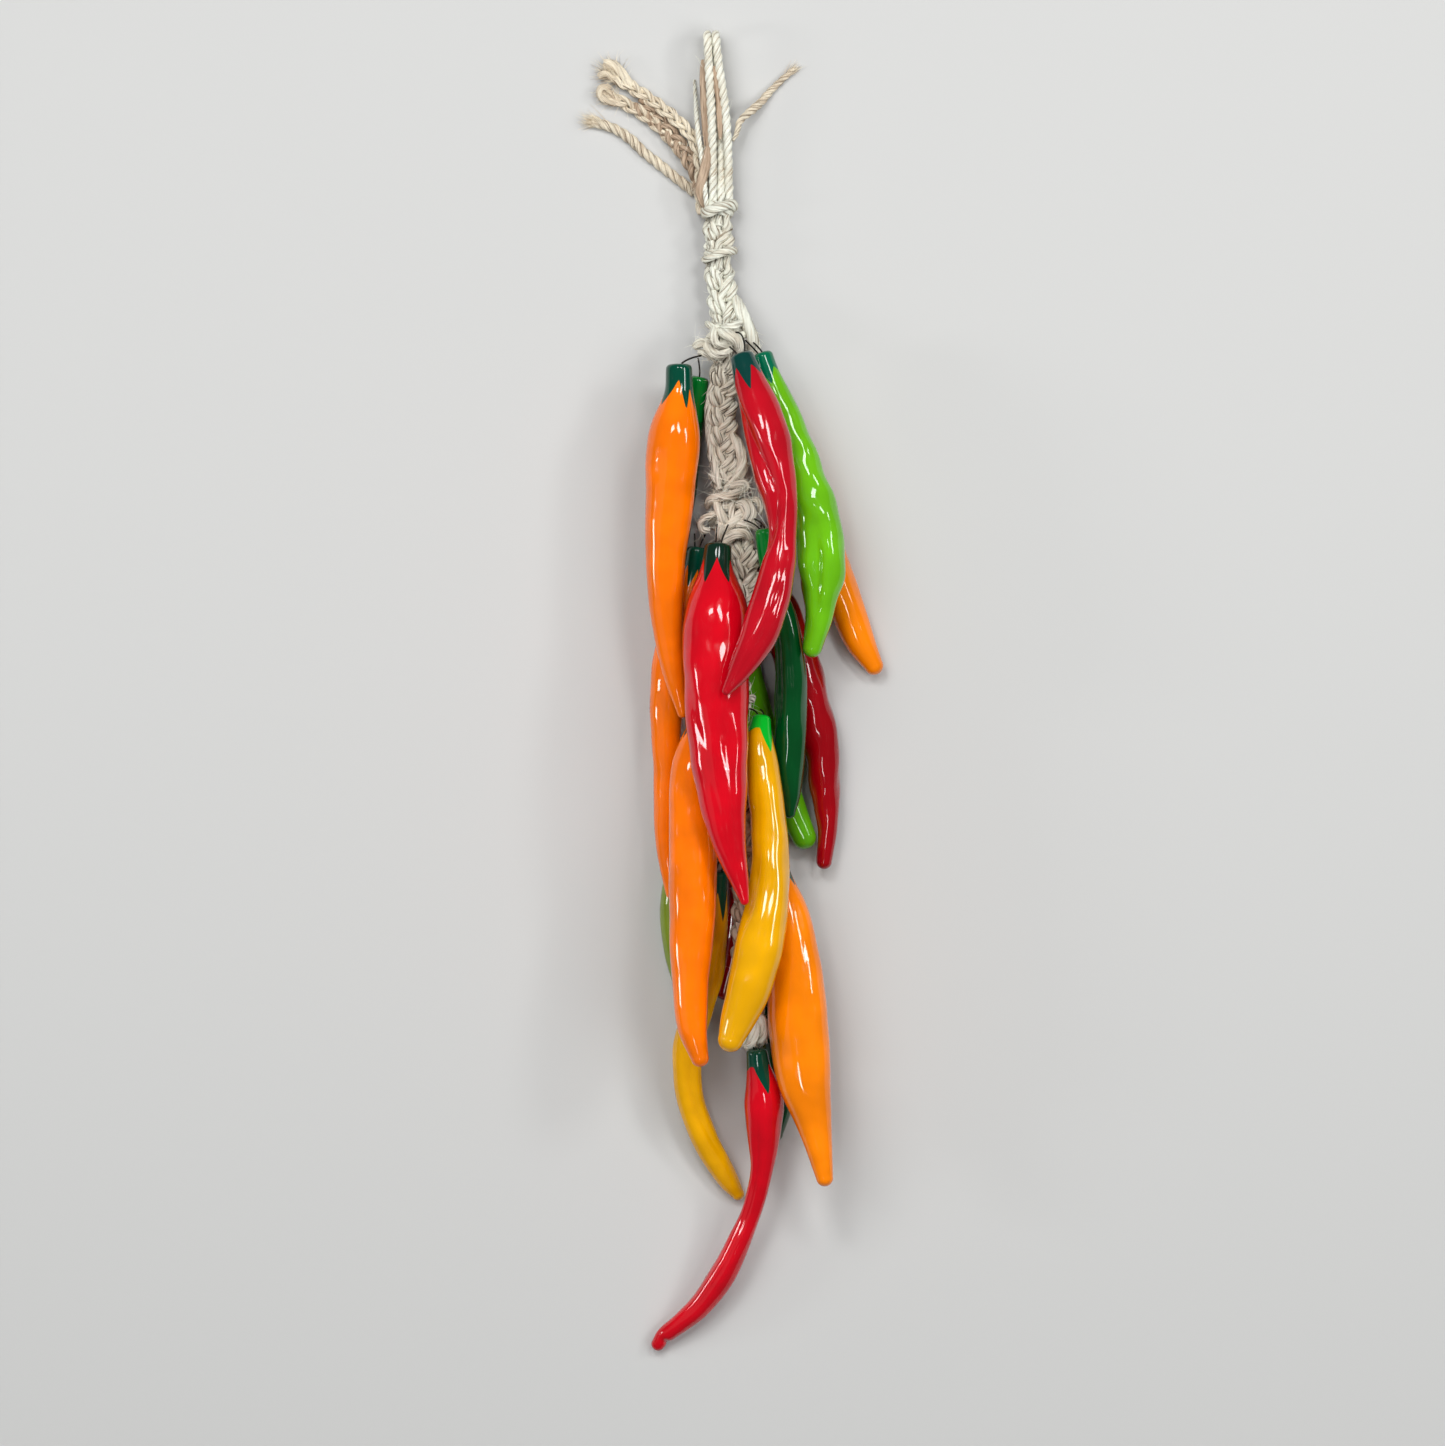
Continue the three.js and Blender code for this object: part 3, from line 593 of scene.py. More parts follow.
# %% Hollows, creases and waviness of single chillies, and the waviness of the rest
USUAL_WAVINESS = 0.75
HOLLOWS = {
    "lime": [(100, 12, 0.3, 15, 17), (60, -30, 0.06, 9, 30), (36, 10, 0.05, 8, 26)],
    "red_center": [(30, -35, 0.03, 10, 22), (62, 18, 0.05, 12, 20), (92, -25, 0.06, 10, 20)],
    "red_front_right": [(82, -30, 0.07, 12, 26), (108, 20, 0.06, 14, 24)],
    "red_low": [(20, 14, 0.06, 5, 26), (144.5, -62, 0.34, 1.6, 62), (66, -20, 0.05, 12, 22)],
    "orange_low_right": [(16, 5, 0.05, 5, 30), (50, 35, 0.04, 24, 22), (96, -10, 0.03, 26, 25)],
    "yellow_front": [(22, 8, 0.05, 4, 24), (44, 14, 0.04, 6, 20), (104, -5, 0.04, 20, 30)],
}
WAVINESS = {
    "red_center": 0.45, "orange_front_left": 0.4, "orange_low_left": 0.5, "orange_low_right": 0.25,
    "orange_right": 0.4, "yellow_left": 1.0, "lime": 1.1, "red_low": 0.9, "red_right": 1.2,
    "green_right": 1.0,
}
CREASES = {
    "red_front_right": [
        ([(12, 95), (34, 56), (48, 30), (64, 6), (76, 28), (94, 80)], 0.24, 36),
        ([(96, -30), (120, -14), (142, -8), (160, -4)], 0.1, 30),
    ],
    "red_center": [
        ([(54, 66), (92, 30), (120, 14), (150, 8)], 0.07, 30),
        ([(72, -12), (100, -24), (134, -30), (156, -20)], 0.06, 28),
    ],
    "red_low": [([(20, 20), (60, 34), (100, 16), (140, 20)], 0.1, 34)],
    "yellow_front": [([(20, 24), (60, 40), (100, 58)], 0.05, 36)],
    "yellow_left": [([(76, -34), (94, -12), (112, -20), (136, -40)], 0.13, 32)],
    "orange_front_left": [([(24, -18), (70, -26), (110, -6), (140, 4)], 0.05, 40)],
    "orange_low_left": [([(30, 32), (80, 20), (130, 14)], 0.06, 40)],
    "orange_low_right": [([(14, -30), (60, -26), (110, -14)], 0.06, 36)],
    "green_right": [([(20, 12), (60, 4), (100, -10)], 0.08, 30), ([(30, 50), (110, 40)], 0.07, 24)],
}
print("single hollows:", sum(map(len, HOLLOWS.values())), "creases:", sum(map(len, CREASES.values())))

# %% [markdown]
# A chilli could be a tube with a bevelled curve, but then the relief and the flat top of the stem would
# have to be added by hand. Here it is one function of the distance along the piece and the angle round it:
# the place of the middle, a direction, and a radius that the relief makes smaller.

# %% One chilli as a function of the distance along it and the angle round it
STEM_EDGE = 2.0
FULLNESS = 1.015
UP = (0, 0, 1)


def unit(vectors):
    """The same directions, one long."""
    return vectors / np.linalg.norm(vectors, axis=-1, keepdims=True)


def directions(path, reference):
    """Along, side and up at each point of a path: side is square to the path and to the reference."""
    along = unit(np.gradient(path, axis=0))
    side = unit(np.cross(along, reference))
    return along, side, np.cross(side, along)


def middle_line(name):
    """One chilli's rings as arrays: middles, radii, distances and the directions of each ring."""
    rings = CHILLIES[name]["rings"]
    start, slope = lying_line(rings, "chilli_" + name)
    plan = smooth_curve(rings, ROWS)
    distance = distance_along(plan[:, :2])
    middle = np.column_stack([plan[:, :2], start + slope * distance])
    return middle, plan[:, 2], distance, *directions(middle, UP)


def chilli_skin(name, seed):
    """A point is the middle plus radius * (fullness - relief) * (side * sin(angle) + up * cos(angle)).
    The stem's flat top is rings that shrink to a point, its edge a quarter circle, and the tip a half
    ball. painted is the length of paint at that angle less the distance from the stem's top."""
    middle, radius, distance, along, side, up = middle_line(name)
    edge = np.linspace(0, np.pi / 2, 6)[:-1]
    flat = np.linspace(0.2, 0.85, 4) * (radius[0] - STEM_EDGE)
    dome = np.linspace(0, np.pi / 2, 13)[1:-1]
    shift = [np.full(len(flat), -STEM_EDGE), -STEM_EDGE * np.cos(edge), np.zeros(ROWS)]
    shift = np.concatenate([*shift, radius[-1] * np.sin(dome)])
    size = [flat, radius[0] - STEM_EDGE * (1 - np.sin(edge)), radius, radius[-1] * np.cos(dome)]
    size = np.concatenate(size)[:, None]
    pick = [np.zeros(len(flat) + len(edge), int), np.arange(ROWS), np.full(len(dome), ROWS - 1)]
    pick = np.concatenate(pick)
    angle = np.linspace(0, 2 * np.pi, SIDES, endpoint=False)[None, :] + np.pi
    run = (distance[pick] + shift)[:, None]
    cut = clay_relief(run, angle, distance[-1], WAVINESS.get(name, USUAL_WAVINESS), seed)
    cut = cut + dents(run, angle, HOLLOWS.get(name, []))
    cut = cut + creases(run, angle, CREASES.get(name, []))
    centre = (middle[pick] + along[pick] * shift[:, None])[:, None, :]
    outwards = side[pick][:, None] * np.sin(angle)[..., None] + up[pick][:, None] * np.cos(angle)[..., None]
    rows = centre + (size * (FULLNESS - cut))[..., None] * outwards
    rows[..., 2] = np.maximum(rows[..., 2], 0)
    painted = cap_edge(name, np.broadcast_to(angle, cut.shape)) - run
    start = middle[0] - along[0] * STEM_EDGE
    end = middle[-1] + along[-1] * radius[-1]
    return closed_skin("glazed_" + name, rows, start, end, {"painted": painted})


longest = max(CHILLIES, key=lambda name: middle_line(name)[2][-1])
print("the longest middle line is", round(middle_line(longest)[2][-1]), "mm:", longest)

# %% [markdown]
# ## Glaze
# A glaze is two layers: a coloured one, and on it a clear one that mirrors like glass. One glossy surface
# would be simpler, but a bump on it would crinkle its highlights too. So the body under the coat hardly
# shines. It carries the colour, a little deeper in cloudy patches where the glaze ran thicker, and a soft
# bump that mottles it. The coat stays smooth and makes the highlights, which only the clay's relief bends.
# Where the paint of the cap still reaches, the stored number is above zero, and a little noise makes that
# edge look brushed.

# %% Glazes with their slots, and paints
GLAZES = {
    "orange": ("glaze_orange", (1.0, 0.185, 0.0)),
    "amber": ("glaze_orange", (1.0, 0.24, 0.0)),
    "red": ("glaze_red", (0.64, 0.001, 0.01)),
    "crimson": ("glaze_red", (0.48, 0.003, 0.012)),
    "dark_red": ("glaze_red", (0.32, 0.0, 0.004)),
    "yellow": ("glaze_yellow", (0.84, 0.4, 0.0)),
    "lime": ("glaze_lime", (0.15, 0.5, 0.006)),
    "leaf_green": ("glaze_leaf_green", (0.1, 0.36, 0.005)),
    "sage_green": ("glaze_dark_green", (0.2, 0.28, 0.02)),
    "dark_green": ("glaze_dark_green", (0.0, 0.065, 0.012)),
}
PAINTS = {
    "blackish": (0.003, 0.02, 0.011),
    "deep_green": (0.0, 0.055, 0.03),
    "deep_teal": (0.002, 0.042, 0.034),
    "teal": (0.0, 0.13, 0.06),
    "mid_green": (0.0, 0.17, 0.02),
    "bright_green": (0.0, 0.45, 0.02),
}
DEEPER = 0.82
EDGE_WOBBLE = 0.8
EDGE_SOFTNESS = 0.15
MOTTLE_DEPTH = 0.0012


def glaze(body, paint):
    """A clear-coated glaze of one body colour, with a stem cap painted in another. Paint covers the glaze
    where painted + wobble * (noise - 0.5), in millimetres, is above zero."""
    net = Net(f"glaze_{body}_{paint}", Coat_Weight=1.0, Coat_Roughness=0.03, Coat_IOR=1.5)
    net.shader.inputs["Specular IOR Level"].default_value = 0.05
    cloud = net.noise(net.place(), 45.0)
    fine = net.noise(net.place(), 160.0)
    colour = GLAZES[body][1]
    deeper = tuple(DEEPER * channel for channel in colour)
    base = net.mix(cloud.clamped(0.3, 0.7), (*deeper, 1.0), (*colour, 1.0))
    reach = net.attribute("painted") + (fine - 0.5) * EDGE_WOBBLE
    mask = reach.clamped(-EDGE_SOFTNESS, EDGE_SOFTNESS)
    net.feed("Base Color", net.mix(mask, base, (*PAINTS[paint], 1.0)))
    net.feed("Roughness", 0.1 + 0.12 * fine)
    net.bump(net.noise(net.place(), 85.0, 1.0), MOTTLE_DEPTH)
    return net.material


glazed = {}
for seed, (name, chilli) in enumerate(CHILLIES.items(), start=11):
    key = (chilli["glaze"], chilli["cap"])
    if key not in glazed:
        glazed[key] = glaze(*key)
    finished(chilli_skin(name, seed), glazed[key], "chilli_" + name)
print(len(glazed), "glazes on", len(CHILLIES), "chillies")

# %% [markdown]
# ## The rope
# The rope is plaited from three strands, and each strand is a pair of thin twisted cords, so it shows as
# two columns of slanting pairs with no gaps. It could be drawn strand by strand, but a plait is a formula:
# a strand's middle swings from side to side once in each pitch, and up and down twice, and the other two
# follow a third of a pitch behind each other. The pair lies flat where it crosses the front and rolls over
# where it turns round the edge.
#
# The route below is the rope's middle. Each knot is given by its y and its half length. Between two knots
# the plait turns by a whole number of sixths of a pitch, so it enters each knot in the same way.

# %% The rope's way, its knots and its plait, in millimetres
ROPE_ROUTE = [
    (-20.5, 259, 9.6), (-20.5, 235, 10.4), (-18.5, 213, 11.5), (-16.5, 194, 13.4), (-19, 170, 13),
    (-18.5, 142, 13), (-15, 118, 15.5), (-9.5, 98, 20), (-8.5, 80, 24), (-12, 57, 25.5), (-13.5, 33, 25.5),
    (-10.5, 0, 25.5), (-7, -35, 25.5), (-8, -64, 25), (-7.5, -92, 23.5), (-4.5, -122, 21.5),
]
KNOT_SPANS = [(255, 4.4), (235, 4.6), (195, 10.1), (118, 10.6), (33, 4.8), (-33, 4.8), (-115, 4.6)]
CROSSINGS = [2, 4, 12, 14, 12, 15]
PLAIT_HALF_WIDTH = 4.3
PLAIT_HALF_DEPTH = 2.9
PINCH = 0.8
FLARE = 1.5
PAIR_SPACING = 1.75
CORD_RADIUS = 2.0
CORD_LAY = 21
ROPE_ENDS = (258.9, -120.6)


def rope_frame(heights):
    """The rope's middle, its direction, and the directions across it and up from the table, at given y."""
    dense = smooth_curve(ROPE_ROUTE, 2000)
    slopes = np.gradient(dense, axis=0)
    middle = np.column_stack([np.interp(-heights, -dense[:, 1], dense[:, axis]) for axis in range(3)])
    along = unit(np.column_stack([np.interp(-heights, -dense[:, 1], slopes[:, axis]) for axis in range(3)]))
    across = unit(np.cross(UP, along))
    return middle, along, across, np.cross(along, across)


def plait_state(heights):
    """How far the plait has turned at each height, and how clear of a knot it is, from 0 to 1. Between
    two knots it turns by a whole number of sixths."""
    turn = np.full_like(heights, -np.pi / 2)
    clear = np.zeros_like(heights)
    for knot, next_knot, crossings in zip(KNOT_SPANS[:-1], KNOT_SPANS[1:], CROSSINGS):
        top, bottom = knot[0] - knot[1], next_knot[0] + next_knot[1]
        free = top - bottom - 2 * FLARE
        turn -= np.pi / 3 * crossings * np.clip((top - FLARE - heights) / free, 0, 1)
        clear = np.maximum(clear, np.clip(np.minimum(top - heights, heights - bottom) / FLARE, 0, 1))
    return turn, clear


print("sixths of a pitch from top to bottom:", sum(CROSSINGS))

# %% [markdown]
# Every cord, strand and knot is the same thing at another size: a bundle of yarns that twist round each
# other. Each yarn could be a tube of its own, but that takes three times the faces and the tubes cut into
# each other. One skin is enough: seen end on, its outline has a rounded lobe for each yarn, and the lobes
# turn with the length. It also stores where each point lies on the untwisted bundle, so that a pattern of
# fibres follows the cord wherever it goes. It also stores how much painted shade the cord takes in its
# grooves and on its underside.

# %% A twisted bundle along a path
FULL_GROOVE = 0.22
surfaces = []


def bundle(name, path, half_width, half_depth, reference, *, lay, seed, yarns=3, sides=36, groove=0.16,
           underside_shade=0.0):
    """Points lie at path + side * w * k * sin(angle) + up * d * k * cos(angle), with w and d the half width
    and depth. The factor k is 1 on the back of a yarn and 1 - groove between two yarns: the yarn's angle
    is the point's angle less one turn for each lay of length. k also swells and thins a little at random.
    valley, the share of painted shade, is 1 between two yarns and less for a shallow groove. Below the
    cord's middle it rises to the share given for the underside, so it is painted shade in the grooves and
    underneath."""
    draw = np.random.default_rng(seed)
    along, side, up = directions(path, reference)
    distance = distance_along(path)[:, None]
    angle = np.linspace(0, 2 * np.pi, sides, endpoint=False)[None, :]
    turned = angle - 2 * np.pi * distance / lay
    valley = 1 - np.abs(np.cos(yarns / 2 * turned)) ** 0.8
    lobes = 1 - groove * valley
    slow_wave = 2 * np.pi * distance / draw.uniform(9, 15) + draw.uniform(0, 6.3)
    quick_wave = 2 * np.pi * distance / draw.uniform(5, 8) + draw.uniform(0, 6.3)
    swell = 0.03 * np.sin(slow_wave + 2 * turned)
    swell = swell + 0.025 * np.sin(quick_wave - 3 * turned)
    ridges = 0.02 * np.sin(11 * turned + draw.uniform(0, 6.3) + 0.6 * np.sin(distance / 2.1))
    factor = lobes + swell + ridges
    half_width = np.broadcast_to(half_width, distance.shape[0])[:, None]
    half_depth = np.broadcast_to(half_depth, distance.shape[0])[:, None]
    sideways = (half_width * factor * np.sin(angle))[..., None] * side[:, None]
    upwards = (half_depth * factor * np.cos(angle))[..., None] * up[:, None]
    rows = path[:, None] + sideways + upwards
    lift = (rows - path[:, None])[..., 2] / half_depth
    # valley is the share of painted shade: dark between the yarns, less for a shallow groove
    valley = valley * min(1, groove / FULL_GROOVE)
    # painted shade on the cord's underside, below its middle
    valley = np.maximum(valley, underside_shade * np.clip(0.85 - 1.5 * lift, 0, 1))
    rows[..., 2] = np.maximum(rows[..., 2], 0.05)
    size = half_width.mean()
    spread = np.broadcast_to(distance, turned.shape)
    fibre = np.stack([size * np.sin(turned), size * np.cos(turned), spread], axis=-1)
    surfaces.append((rows, *[np.broadcast_to(line[:, None], rows.shape) for line in (path, along)]))
    start, end = path[0] - 0.2 * along[0], path[-1] + 0.2 * along[-1]
    return closed_skin(name, rows, start, end, {"fibre": fibre, "valley": valley})


lean = np.degrees(np.arctan(2 * np.pi * CORD_RADIUS / CORD_LAY))
print("the yarns of the plait's cords lean by", round(lean), "degrees")

# %% [markdown]
# Sisal is pale where it is new and clean and grey-brown where it has been handled, and the lower rope is
# made darker still as painted shade. Seen close, each yarn is a bunch of hair-thin fibres of slightly
# different colours. They could be thousands of real hairs, but on every cord that would be too heavy. Noise
# that is stretched along the fibres gives the same streaks, both in the colour and in the relief, and real
# hairs are kept for the fibres that stand out. The shadow between the fibre bunches is painted into the
# colour.

# %% Sisal
CLEAN_FROM = (0.180, 0.207)
# heights in metres where a brown painted shade, for the rope in the shade between chillies, fades in and
# out, and its colour
SHADE_STARTS = (-0.108, -0.1)
SHADE_ENDS = (-0.05, -0.03)
SHADE_BROWN = (0.3, 0.16, 0.09, 1.0)
STREAK_DEPTH = 0.0011


def sisal(name, lower, upper):
    """Streaky plant fibre: pale fibres over tan ones, with painted shadow in the gaps between the fibre
    bunches and painted shade in the grooves and undersides that the valley attribute marks. Its three shades
    change from the lower ones to the upper ones between the two heights of CLEAN_FROM, in metres, and the
    lower ones are darker partly for wear and partly as painted shade. A stretch near the rope's low end,
    which lies in the shade between chillies, is darkened brown as painted shade."""
    net = Net(name, Roughness=0.85)
    height = net.node("ShaderNodeSeparateXYZ", {}, {"Vector": net.place()}, output="Y")
    raised = (height + 0.012 * (net.noise(net.place(), 90.0) - 0.5)).clamped(*CLEAN_FROM)
    pairs = zip(lower, upper)
    # the lower rope's shades are darker, partly for wear and partly as painted shade
    pale, tan, shadow = [net.mix(raised, (*below, 1.0), (*above, 1.0)) for below, above in pairs]
    fibre = net.attribute("fibre", "Vector")
    fine = net.noise(net.stretched(fibre, (1.7, 1.7, 0.13)), 1.0, 3.0)
    coarse = net.noise(net.stretched(fibre, (0.7, 0.7, 0.07)), 1.0, 2.0)
    patch = net.noise(net.place(), 60.0)
    between = net.attribute("valley").clamped(0.4, 1.0)
    colour = net.mix((0.6 * fine + 0.4 * patch).clamped(0.38, 0.56), tan, pale)
    # painted shadow in the gaps between fibre bunches
    colour = net.mix((coarse + 0.3 * fine).clamped(0.46, 0.56), shadow, colour)
    # painted shade: the stretch of rope that lies in the shade between chillies is darkened brown
    shaded_stretch = height.clamped(*SHADE_STARTS) * (1 - height.clamped(*SHADE_ENDS))
    colour = net.mix(0.6 * shaded_stretch, colour, SHADE_BROWN)
    # painted shade in the grooves and on the undersides
    net.feed("Base Color", net.mix(0.9 * between, colour, shadow))
    net.bump(fine + 0.9 * coarse, STREAK_DEPTH)
    return net.material


# the palest shades, a lighter copy of the clean ones: painted light that makes the loops, the low folds, a
# thin cut end and some fuzz brighter than the rope
BRIGHTENED = [(0.95, 0.96, 0.85), (0.84, 0.8, 0.66), (0.46, 0.37, 0.25)]
CLEAN = [(0.84, 0.85, 0.74), (0.7, 0.65, 0.53), (0.26, 0.19, 0.12)]
# shades of the lower rope: darker partly for wear and partly as painted shade
HANDLED_AND_SHADED = [(0.86, 0.8, 0.68), (0.58, 0.49, 0.37), (0.07, 0.05, 0.032)]
RAW = [(0.86, 0.77, 0.6), (0.64, 0.52, 0.38), (0.26, 0.18, 0.12)]
BROWN = [(0.56, 0.42, 0.3), (0.4, 0.28, 0.19), (0.17, 0.11, 0.07)]
PALE_SISAL = sisal("pale_sisal", BRIGHTENED, BRIGHTENED)
ROPE_SISAL = sisal("rope_sisal", HANDLED_AND_SHADED, CLEAN)
TAN_SISAL = sisal("tan_sisal", RAW, RAW)
BROWN_SISAL = sisal("brown_sisal", BROWN, BROWN)
print("sisal in four shades")

# %% [markdown]
# The plait is made of six of those cords, two to a strand. A curve that follows each one by hand would
# never close up evenly. The formula below gives each cord's middle, and the bundle gives its skin. In a
# knot the cords are gripped, so there the plait is narrower and they are thinner.

# %% The three strands of the plait, two cords each
def plaited_cord(number, sign, steps=800):
    """The middle of one cord, and how much of its radius it keeps: 0.85 in a knot and 1 clear of it. Its
    strand's middle goes across by sin(angle) and up by sin(2 angle), and the cord lies half a spacing
    beside it, in a plane that rolls by pi (1 - cos(angle - pi / 4))."""
    heights = np.linspace(*ROPE_ENDS, steps)
    middle, _, across, up = rope_frame(heights)
    turn, clear = plait_state(heights)
    angle = turn - 2 * np.pi * number / 3
    swing = PLAIT_HALF_WIDTH * (PINCH + (1 - PINCH) * clear) * np.sin(angle)
    strand = middle + across * swing[:, None] + up * (PLAIT_HALF_DEPTH * np.sin(2 * angle))[:, None]
    roll = np.pi * (1 - np.cos(angle - np.pi / 4))
    face = up * np.cos(roll)[:, None] + across * np.sin(roll)[:, None]
    beside = unit(np.cross(np.gradient(strand, axis=0), face))
    return strand + sign * PAIR_SPACING * beside, 0.85 + 0.15 * clear


for number in range(3):
    for sign, side_name in ((-1, "inner"), (1, "outer")):
        path, grip = plaited_cord(number, sign)
        strand_name = f"rope_strand_{number + 1}"
        cord = bundle(f"twined_{strand_name}_{side_name}", path, CORD_RADIUS * grip, CORD_RADIUS * grip, UP,
                      lay=CORD_LAY, seed=60 + 2 * number + sign, sides=24, groove=0.24, underside_shade=0.8)
        finished(cord, ROPE_SISAL, strand_name)

# %% [markdown]
# ## Knots
# The real knots are turns of cord pulled tight, too tangled to copy loop by loop. What the eye takes in is
# a few turns that cross over and under. So a knot here is one cord that goes round the rope a few times
# while it swings up and down and crosses itself. Where it climbs it runs outside, and where it falls it
# runs inside, so the crossings are clear, and its ends are tucked in. The cords of the two large knots are
# broad smooth bands, which have worn flat.
#
# wide, deep and long are the half measures of the ring, cord is its thickness and its breadth, lean tilts
# it and start turns it. leads and bights say how often it goes round and how often it swings. twist is the
# lay and the groove.

# %% Woven rings round the rope
RINGS = {
    "knot_top": {"y": 256.8, "wide": 6.0, "deep": 6.2, "long": 2.4, "cord": (3.4, 5.4), "lean": 0.3,
        "leads": 2, "bights": 1, "start": 0.0},
    "knot_second": {"y": 236.2, "wide": 6.1, "deep": 6.2, "long": 1.2, "cord": (3.0, 3.8), "lean": 1.2,
        "leads": 2, "bights": 1, "start": -0.75},
    "knot_upper": {"y": 197, "wide": 7.2, "deep": 6.6, "long": 4.4, "cord": (3.8, 4.6), "lean": 1.0,
        "leads": 3, "bights": 2, "start": 0.3, "twist": (60, 0.14)},
    "knot_middle": {"y": 116, "wide": 7.4, "deep": 7.2, "long": 5.4, "cord": (4.2, 4.8), "lean": 1.2,
        "leads": 3, "bights": 2, "start": 0.2, "twist": (50, 0.16)},
    "knot_hidden": {"y": 33, "wide": 7.0, "deep": 7.0, "long": 2.0, "cord": (3.6, 4.0), "lean": 0.8,
        "leads": 2, "bights": 1, "start": 0.0},
    "knot_lower": {"y": -33, "wide": 7.0, "deep": 7.0, "long": 2.0, "cord": (3.6, 4.0), "lean": -0.8,
        "leads": 2, "bights": 1, "start": 0.0},
    "knot_end": {"y": -114.5, "wide": 7.0, "deep": 7.2, "long": 2.2, "cord": (3.8, 4.2), "lean": 0.8,
        "leads": 2, "bights": 1, "start": -0.4},
}
USUAL_TWIST = (20, 0.26)


def woven_ring(knot, ring, seed):
    """Round by angle = leads * s, along by long * cos(bights * s) + lean * cos(angle), and outwards by a
    third of the cord where it climbs, for s from 0 to a full turn. The cord is broader than it is thick."""
    draw = np.random.default_rng(seed)
    thick, broad = ring["cord"]
    s = np.linspace(0, 2 * np.pi, 110 * ring["leads"])
    middle, along, across, up = (part[0] for part in rope_frame(np.array([float(ring["y"])])))
    angle = ring["leads"] * s - np.pi / 2 + ring["start"]
    tuck = 0.4 * (np.exp(-((s / 0.12) ** 2)) + np.exp(-(((2 * np.pi - s) / 0.12) ** 2)))
    out = 1 - tuck + 0.03 * np.sin(3 * angle + draw.uniform(0, 6.3))
    over = 0.36 * thick * np.sin(ring["bights"] * s)
    rise = ring["long"] * np.cos(ring["bights"] * s) + ring["lean"] * np.cos(angle)
    rise = rise + 0.1 * broad * np.sin(5 * s + draw.uniform(0, 6.3))
    path = middle + across * ((ring["wide"] + over) * out * np.cos(angle))[:, None]
    path = path + up * ((ring["deep"] + over) * out * np.sin(angle))[:, None] - along * rise[:, None]
    swell = 0.5 * (1 + 0.1 * np.sin(4 * s + draw.uniform(0, 6.3)))
    lay, groove = ring.get("twist", USUAL_TWIST)
    cord = bundle("tied_" + knot, path, thick * swell, broad * swell, along,
                  lay=lay, seed=seed, groove=groove, underside_shade=0.8)
    return finished(cord, ROPE_SISAL, knot)


for seed, (knot, ring) in enumerate(RINGS.items(), start=81):
    woven_ring(knot, ring, seed)
print("knots tied:", len(RINGS))

# %% [markdown]
# The rings alone are too neat. On the real rope short turns of cord lie over the knots, stubs stand out of
# them, and a stray strand runs beside the plait. No formula gives these, so each is a thickness and a few
# points of its way, and the same bundle makes its skin.

